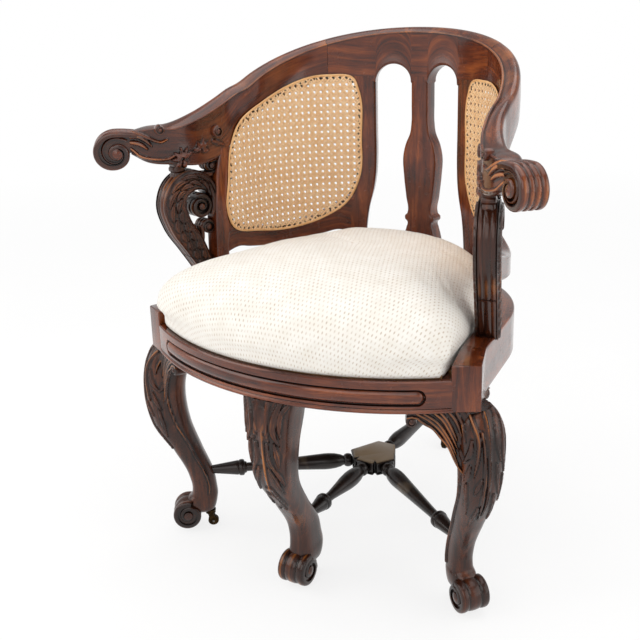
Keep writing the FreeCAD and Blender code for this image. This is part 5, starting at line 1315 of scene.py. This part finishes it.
def cushion():
    rows = []
    way, reach = seat_outline(8)
    for share in (0.06, 0.35, 0.7):
        rows.append(seat_ring(way, reach * share, SEAT_FOOT))
    edge = 10.0
    gap = 1.5
    softening = np.array([1, 2, 3, 2, 1]) / 9
    back, left, right = SEAT_FALLS
    for draw, height in curve(SEAT_SIDE, 44, 2):
        way, reach = seat_outline(min(draw, edge) + gap)
        reach = reach * (1 - max(draw - edge, 0) / SEAT_REACH)
        reach = reach + corner_bulge(way) * smooth(RAIL_TOP, RAIL_TOP + 15, height)
        around = np.concatenate([reach[-2:], reach, reach[:2]])
        softened = np.convolve(around, softening, "valid")
        reach = reach + (softened - reach) * smooth(410, 440, height)
        lower = back * smooth(-0.2, 0.7, way[:, 1])
        lower = lower + left * smooth(0.45, 0.95, -way[:, 0]) + right * smooth(0.45, 0.95, way[:, 0])
        rows.append(seat_ring(way, reach, height - lower * smooth(425, 475, height)))
    rim = rows[-1]
    middle = np.append(SEAT_CENTRE, 0)
    for share in (0.8, 0.6, 0.4, 0.2, 0.06):
        ring = middle + (rim - middle) * [share, share, 1]
        ring[:, 2] = rim[:, 2] * share + rim[:, 2].mean() * (1 - share) + 1.4 * (1 - share**2)
        rows.append(ring)
    points = np.stack(rows)
    steps = np.linalg.norm(np.diff(points[::-1], axis=0), axis=-1)
    from_middle = np.concatenate([0 * steps[:1], np.cumsum(steps, axis=0)])[::-1]
    shell = Shell().grid(points, stacked(from_middle * way[:, 0], from_middle * way[:, 1], 0.0))
    stands_for = ["seat_cover", "seat_stuffing"]
    made = shell.piece("seat_cushion", FABRIC, stands_for, "drop_in_seat", "cream_fabric", SOFT_SHARP)
    swell(made, points.shape[0], points.shape[1])


def swell(made, rings, columns):
    """Pressure run of the cover, with its movement capped and its sides kept near the seat's outline."""
    scene = bpy.context.scene
    held_under = 0.402
    frames = 20
    limit = 0.009
    slack = 2.4
    copy = bpy.data.objects.new("cloth_run", made.data.copy())
    bpy.context.collection.objects.link(copy)
    held = copy.vertex_groups.new(name="held")
    held.add([i for i, v in enumerate(copy.data.vertices) if v.co.z < held_under], 1.0, "REPLACE")
    cloth = copy.modifiers.new("cloth", "CLOTH")
    settings = cloth.settings
    settings.quality = 6
    settings.mass = 0.4
    settings.tension_stiffness = 12
    settings.compression_stiffness = 12
    settings.shear_stiffness = 4
    settings.bending_stiffness = 0.6
    settings.use_pressure = True
    settings.uniform_pressure_force = 4
    settings.effector_weights.gravity = 0
    settings.vertex_group_mass = "held"
    for step in range(1, frames + 1):
        scene.frame_set(step)
    result = copy.evaluated_get(bpy.context.evaluated_depsgraph_get())
    before = np.array([v.co for v in copy.data.vertices])
    after = np.array([v.co for v in result.data.vertices])
    scene.frame_set(1)
    bpy.data.objects.remove(copy)
    move = after - before
    length = np.linalg.norm(move, axis=1, keepdims=True)
    places = before + move * np.minimum(1, limit / np.maximum(length, 1e-9))
    plan = places[:, :2] * 1000 - [0, HUB_Y] - SEAT_CENTRE
    way, reach = seat_outline(-slack, columns)
    far = np.linalg.norm(plan, axis=1)
    bound = np.tile(reach + corner_bulge(way), rings)
    scale = np.minimum(1, bound / np.maximum(far, 1e-6))
    places[:, :2] = (plan * scale[:, None] + SEAT_CENTRE + [0, HUB_Y]) / 1000
    made.data.vertices.foreach_set("co", places.ravel())
    made.data.update()


def dust_cover():
    """Thin black cloth tacked under the seat frame."""
    lap = 44
    way, reach = seat_outline(lap)
    edge_level = 388.1
    sag = 2.5
    thick = 0.6
    low = []
    for share in np.linspace(0.04, 1, 14):
        low.append(seat_ring(way, reach * share, edge_level - sag * (1 - share**2)))
    high = [ring + UP * thick for ring in low[::-1]]
    points = np.stack(low + high)
    shell = Shell().grid(points, points)
    stands_for = ["seat_dust_cover"]
    made = shell.piece("dust_cover", DUST_CLOTH, stands_for, "drop_in_seat", "dust_cloth", SOFT_SHARP)


# Stretchers

STRETCHER_HEIGHT = 106.0


def stretcher(angle, neck_at, end):
    """Turned stretcher from the hub to a leg: bead, swell, neck, collar and cone."""
    neck_end = neck_at + 14
    collar = neck_at + 18
    bead = [(20, 6), (41.5, 6), (42, 8), (43.2, 10), (46, 11.3), (49, 11.7), (52, 11.3), (54.8, 10)]
    swelling = [(56, 8.2), (58, 8.6), (62, 10.6), (72, 13), (82, 13.9), (90, 14), (104, 13.2)]
    neck = [((104 + neck_at) / 2, 10.3), (neck_at, 7.6), (neck_end, 7.5), (neck_end + 1, 9.4)]
    rings = [(0, 10.4), (0.6, 12.6), (2.5, 13.8), (6, 14), (9, 13.4), (10, 12), (12, 12.6), (16, 12)]
    cone = [(end - 14, 7.4), (end, 6)]
    rows = bead + swelling + neck + [(collar + past, radius) for past, radius in rings] + cone
    return lathe(Shell(), STRETCHER_HEIGHT * UP, np.append(plan_way(angle), 0), rows)


def hub():
    """Lobed block where the stretchers meet."""
    lobe_reach = 42
    lobe_half = 17
    notch_reach = 34.5
    angles = [0, CORNER_ANGLE, math.pi, 2 * math.pi - CORNER_ANGLE, 2 * math.pi]
    corners = []
    for angle, following in zip(angles, angles[1:]):
        lobe = plan_way(angle) * lobe_reach
        aside = plan_way(angle + math.pi / 2) * lobe_half
        corners += [lobe - aside, lobe + aside, plan_way((angle + following) / 2) * notch_reach]
    levels = [(93, 4), (94, 2), (96, 0), (98, 0.6), (99, 2), (113, 2), (114, 0.6), (116, 0), (118, 1.6),
              (119, 3.6)]
    # Top two levels painted lighter: painted light on the hub's top, which the seat shades.
    wear_and_painted_light = np.array([0.4] * 8 + [0.75, 0.95])[:, None]
    return prism(np.array(corners), levels, 2.2, wear_and_painted_light)


def metal(name, deep, bright, rough):
    """Old metal with cloudy tarnish."""
    material, tree, shader = surface(name)
    place = node(tree, "TexCoord").outputs["Object"]
    cloud = noise(tree, place, 140.0, 5.0, 0.6)
    colour = ramp(tree, cloud, [(0.35, deep), (0.65, bright)])
    sheen = ramp(tree, noise(tree, place, 320.0), [(0.3, rough), (0.7, rough + 0.2)])
    plug(tree, shader, {"Base Color": colour, "Roughness": sheen, "Normal": bump(tree, cloud, 0.0001),
                        "Metallic": 1.0})
    return material


def plain_weave(tree, parts, pitch):
    """Height of a plain weave of threads, from -1 to 1."""
    turn = 2 * math.pi / pitch
    warp, weft = (math_node(tree, "SINE", math_node(tree, "MULTIPLY", parts.outputs[way], turn))
                  for way in (0, 1))
    return math_node(tree, "MULTIPLY", warp, weft)


def woven(name, thread, gap, pitch):
    """Plain weave of threads by their place on the cloth."""
    material, tree, shader = surface(name)
    place = node(tree, "TexCoord").outputs["Object"]
    parts = node(tree, "SeparateXYZ", {0: place})
    height = plain_weave(tree, parts, pitch)
    tone = math_node(tree, "ADD", math_node(tree, "MULTIPLY", height, 0.35), noise(tree, place, 160.0))
    colour = ramp(tree, tone, [(0.25, gap), (0.7, thread)])
    plug(tree, shader, {"Base Color": colour, "Normal": bump(tree, height, 0.0003), "Roughness": 0.9})
    return material


def fabric():
    """Cream cover with rows of small flecks between plain threads."""
    material, tree, shader = surface("cream_fabric")
    place = node(tree, "Attribute", attribute_name="grain").outputs["Vector"]
    parts = node(tree, "SeparateXYZ", {0: place})
    fleck_pitch = (0.0066, 0.0074)
    fleck_half = (0.19, 0.36)
    thread_pitch = 0.0016
    across = math_node(tree, "DIVIDE", parts.outputs[0], fleck_pitch[0])
    down = math_node(tree, "DIVIDE", parts.outputs[1], fleck_pitch[1])
    row = math_node(tree, "FLOOR", down)
    shift = math_node(tree, "MULTIPLY", math_node(tree, "FLOORED_MODULO", row, 2.0), 0.5)
    column = math_node(tree, "ADD", across, shift)
    squares = []
    for spot, half in zip((column, down), fleck_half):
        off = math_node(tree, "SUBTRACT", math_node(tree, "FRACT", spot), 0.5)
        share = math_node(tree, "DIVIDE", math_node(tree, "ABSOLUTE", off), half)
        squares.append(math_node(tree, "POWER", share, 2.0))
    inner = math_node(tree, "SUBTRACT", 1.0, math_node(tree, "ADD", *squares))
    fleck = math_node(tree, "MAXIMUM", inner, 0.0)
    fade = ramp(tree, noise(tree, place, 55.0, 3.0), [(0.35, 0.35), (0.65, 1.0)])
    share = math_node(tree, "MULTIPLY", fleck, fade)
    weave = plain_weave(tree, parts, thread_pitch)
    cream = [(0.3, shade(236, 231, 222)), (0.7, shade(244, 241, 235))]
    ground = ramp(tree, noise(tree, place, 30.0, 4.0), cream)
    lift = math_node(tree, "ADD", math_node(tree, "MULTIPLY", weave, 0.5), 0.5)
    threads = ramp(tree, lift, [(0.0, 0.93), (0.6, 1.0)])
    ground = mix(tree, 1.0, ground, threads, "MULTIPLY")
    colour = mix(tree, share, ground, shade(194, 174, 154))
    height = math_node(tree, "SUBTRACT", math_node(tree, "MULTIPLY", weave, 0.25), fleck)
    plug(tree, shader, {"Base Color": colour, "Normal": bump(tree, height, 0.0005), "Roughness": 0.92,
                        "Sheen Weight": 0.15})
    return material


def cane_finish(name, deep, middle, bright):
    """Varnished cane: streaks along each strand and dark edges."""
    material, tree, shader = surface(name)
    place = node(tree, "Attribute", attribute_name="grain").outputs["Vector"]
    streak = noise(tree, stretched(tree, place, (30.0, 900.0, 900.0)), 1.0, 3.0)
    colour = ramp(tree, streak, [(0.3, deep), (0.52, middle), (0.72, bright)])
    wear_and_painted_light = node(tree, "Attribute", attribute_name="wear_and_painted_light").outputs["Fac"]
    # Low wear values darken the colour: strand edges darker, hole dishes near black as painted shade.
    edges = ramp(tree, wear_and_painted_light, [(0.0, 0.04), (0.1, 0.42), (0.4, 1.0)])
    colour = mix(tree, 1.0, colour, edges, "MULTIPLY")
    plug(tree, shader, {"Base Color": colour, "Normal": bump(tree, streak, 0.0001), "Roughness": 0.34})
    return material


# Camera, lights and stage

def set_camera():
    """Camera of the photograph: heading, height, distance, roll and framing in pixels."""
    heading = math.radians(29.09)
    height = math.radians(17.94)
    roll = math.radians(-0.67)
    focal = 996.56
    image = 640
    middle = (373.98, 303.35)
    distance = 1.65935
    target = Vector((0, HUB_Y / 1000, 0.3906))
    away = Vector((math.sin(heading) * math.cos(height), -math.cos(heading) * math.cos(height),
                   math.sin(height)))
    right = (-away).cross(Vector((0, 0, 1))).normalized()
    up = right.cross(-away)
    tilted_right = right * math.cos(roll) + up * math.sin(roll)
    tilted_up = up * math.cos(roll) - right * math.sin(roll)
    data = bpy.data.cameras.new("view")
    data.sensor_width = 36
    data.lens = focal * data.sensor_width / image
    data.shift_x = (image / 2 - middle[0]) / image
    data.shift_y = (middle[1] - image / 2) / image
    data.clip_end = 600
    camera = bpy.data.objects.new("view", data)
    bpy.context.collection.objects.link(camera)
    turn = Matrix((tilted_right, tilted_up, away)).transposed().to_4x4()
    camera.matrix_world = Matrix.Translation(target + away * distance) @ turn
    bpy.context.scene.camera = camera


LAMP_AIM = Vector((0, 0, 0.45))


def area_light(name, place, size, energy, colour=(1, 1, 1)):
    """Rectangular lamp that faces the middle of the chair."""
    data = bpy.data.lights.new(name, "AREA")
    data.shape = "RECTANGLE"
    data.size, data.size_y = size
    data.energy = energy
    data.color = colour
    lamp = bpy.data.objects.new(name, data)
    lamp.location = place
    lamp.rotation_euler = (LAMP_AIM - Vector(place)).to_track_quat("-Z", "Y").to_euler()
    bpy.context.collection.objects.link(lamp)


def set_lights():
    """Four soft lamps, and a sky that is brightest at the horizon."""
    area_light("window_left", (-2.2, -1.6, 2.1), (2.6, 2.2), 40, (1.0, 0.98, 0.95))
    area_light("window_front", (0.6, -2.8, 2.2), (3.0, 2.0), 30, (1.0, 0.99, 0.97))
    area_light("window_right", (2.7, 0.4, 1.3), (3.0, 2.2), 26, (1.0, 0.98, 0.95))
    area_light("ceiling", (0.1, 0.2, 2.9), (2.8, 2.8), 36)
    world = bpy.data.worlds.new("studio")
    bpy.context.scene.world = world
    world.use_nodes = True
    tree = world.node_tree
    tree.nodes.clear()
    way = node(tree, "SeparateXYZ", {0: node(tree, "TexCoord").outputs["Generated"]})
    sky = ramp(tree, way.outputs[2], [(0.0, 0.95), (0.1, 0.9), (0.3, 0.5), (1.0, 0.42)])
    back = node(tree, "Background", {"Color": sky})
    node(tree, "OutputWorld", {0: back.outputs[0]})


def set_floor():
    """Pale floor that keeps the shadow of the chair."""
    mesh = bpy.data.meshes.new("floor")
    wide = 250
    corners = [(-wide, -wide, 0), (wide, -wide, 0), (wide, wide, 0), (-wide, wide, 0)]
    mesh.from_pydata(corners, [], [(0, 1, 2, 3)])
    floor = bpy.data.objects.new("floor", mesh)
    bpy.context.collection.objects.link(floor)
    material = bpy.data.materials.new("pale_floor")
    material.use_nodes = True
    tree = material.node_tree
    tree.nodes.clear()
    place = node(tree, "TexCoord").outputs["Object"]
    tone = ramp(tree, noise(tree, place, 3.0), [(0.3, shade(247, 247, 247)), (0.7, shade(252, 252, 252))])
    matt = node(tree, "BsdfDiffuse", {"Color": tone})
    path = node(tree, "LightPath")
    glow = node(tree, "Emission", {"Color": (1, 1, 1, 1), "Strength": 1.0})
    seen = math_node(tree, "MAXIMUM", path.outputs["Is Camera Ray"], path.outputs["Is Glossy Ray"])
    seen = math_node(tree, "MAXIMUM", seen, path.outputs["Is Transmission Ray"])
    far = node(tree, "VectorMath", {0: place}, operation="LENGTH").outputs["Value"]
    white = ramp(tree, math_node(tree, "DIVIDE", far, 6.0), [(0.1, 0.8), (0.6, 1.0)])
    share = math_node(tree, "MULTIPLY", seen, white)
    both = node(tree, "MixShader", {0: share, 1: matt.outputs[0], 2: glow.outputs[0]})
    node(tree, "OutputMaterial", {0: both.outputs[0]})
    mesh.materials.append(material)


# Building

FABRIC = fabric()
CANE = cane_finish("cane", shade(212, 154, 98), shade(244, 202, 152), shade(254, 236, 206))
BINDER = cane_finish("cane_binder", shade(196, 138, 84), shade(226, 174, 116), shade(238, 198, 146))
# Brass colours far darker than brass: painted shade on the casters, which stand under the legs.
SHADED_BRASS = metal("old_brass_painted_shade", shade(20, 15, 10), shade(62, 46, 24), 0.42)
STEEL = metal("dark_steel", shade(60, 58, 56), shade(120, 118, 114), 0.4)
BEECH = wood("beech_carried", BEECH_TONES, carried=True)
JUTE = woven("jute_webbing", shade(176, 146, 100), shade(110, 86, 54), 0.004)
DUST_CLOTH = woven("black_dust_cloth", shade(44, 42, 42), shade(16, 15, 15), 0.002)
# Finish of the CAD nodes by the start of their names, where a later start overrules an earlier one
CARRIED = {"caster": SHADED_BRASS, "block_screws": STEEL, "glue_block": BEECH, "leg_dowels": BEECH,
           "crest_dowels": BEECH, "seat_frame": BEECH, "seat_webbing": JUTE, "caster_axle": STEEL,
           "caster_screws": STEEL}
for name, item in nodes.items():
    finish = RED_CARRIED
    for start, material in CARRIED.items():
        if name.startswith(start):
            finish = material
    for place in item.material_slots:
        place.material = finish

crest().piece("crest", RED_WOOD, ["crest_center"])
splat().piece("vase_splat", RED_WOOD, ["splat"])
hub().piece("hub_block", BLACK_WOOD, ["stretcher_hub"])
front_rail().piece("bowed_rail", RED_WOOD, ["front_rail"])
front_leg().piece("middle_leg", DARK_WOOD, ["leg_front"])
back_leg().piece("rear_leg", DARK_WOOD, ["leg_back"])
PAIRS = [
    (arm(), "arm", RED_WOOD),
    (corner_leg(), "leg", LEG_WOOD),
    (arm_post(), "arm_post", DARK_WOOD),
    (side_rail(), "side_rail", RED_WOOD),
    (inner_stile(), "inner_stile", RED_WOOD),
    (outer_stile(), "outer_stile", RED_WOOD),
    (lower_rail(), "lower_rail", RED_WOOD),
]
for shell, name, material in PAIRS:
    shell.piece("right_" + name, material, [name + "_right"])
    shell.flip().piece("left_" + name, material, [name + "_left"])
block = corner_block()
block.piece("right_leg_block", RED_WOOD, [])
block.flip().piece("left_leg_block", RED_WOOD, [])
strands = cane_panel()
binder = cane_binder()
for side, weave, edge in (("right", strands, binder), ("left", strands.flip(), binder.flip())):
    weave.piece(side + "_cane_weave", CANE, ["cane_panel_" + side], slot="cane")
    edge.piece(side + "_cane_binder", BINDER, [], slot="cane")
STRETCHERS = [
    ("right", CORNER_ANGLE, 210, 294),
    ("left", -CORNER_ANGLE, 210, 294),
    ("front", 0, 151, 221),
    ("back", math.pi, 210, 294),
]
for side, angle, neck_at, end in STRETCHERS:
    stretcher(angle, neck_at, end).piece(side + "_stretcher", BLACK_WOOD, ["stretcher_" + side])
cushion()
dust_cover()

set_camera()
set_lights()
set_floor()
bpy.context.scene.view_settings.view_transform = "Standard"
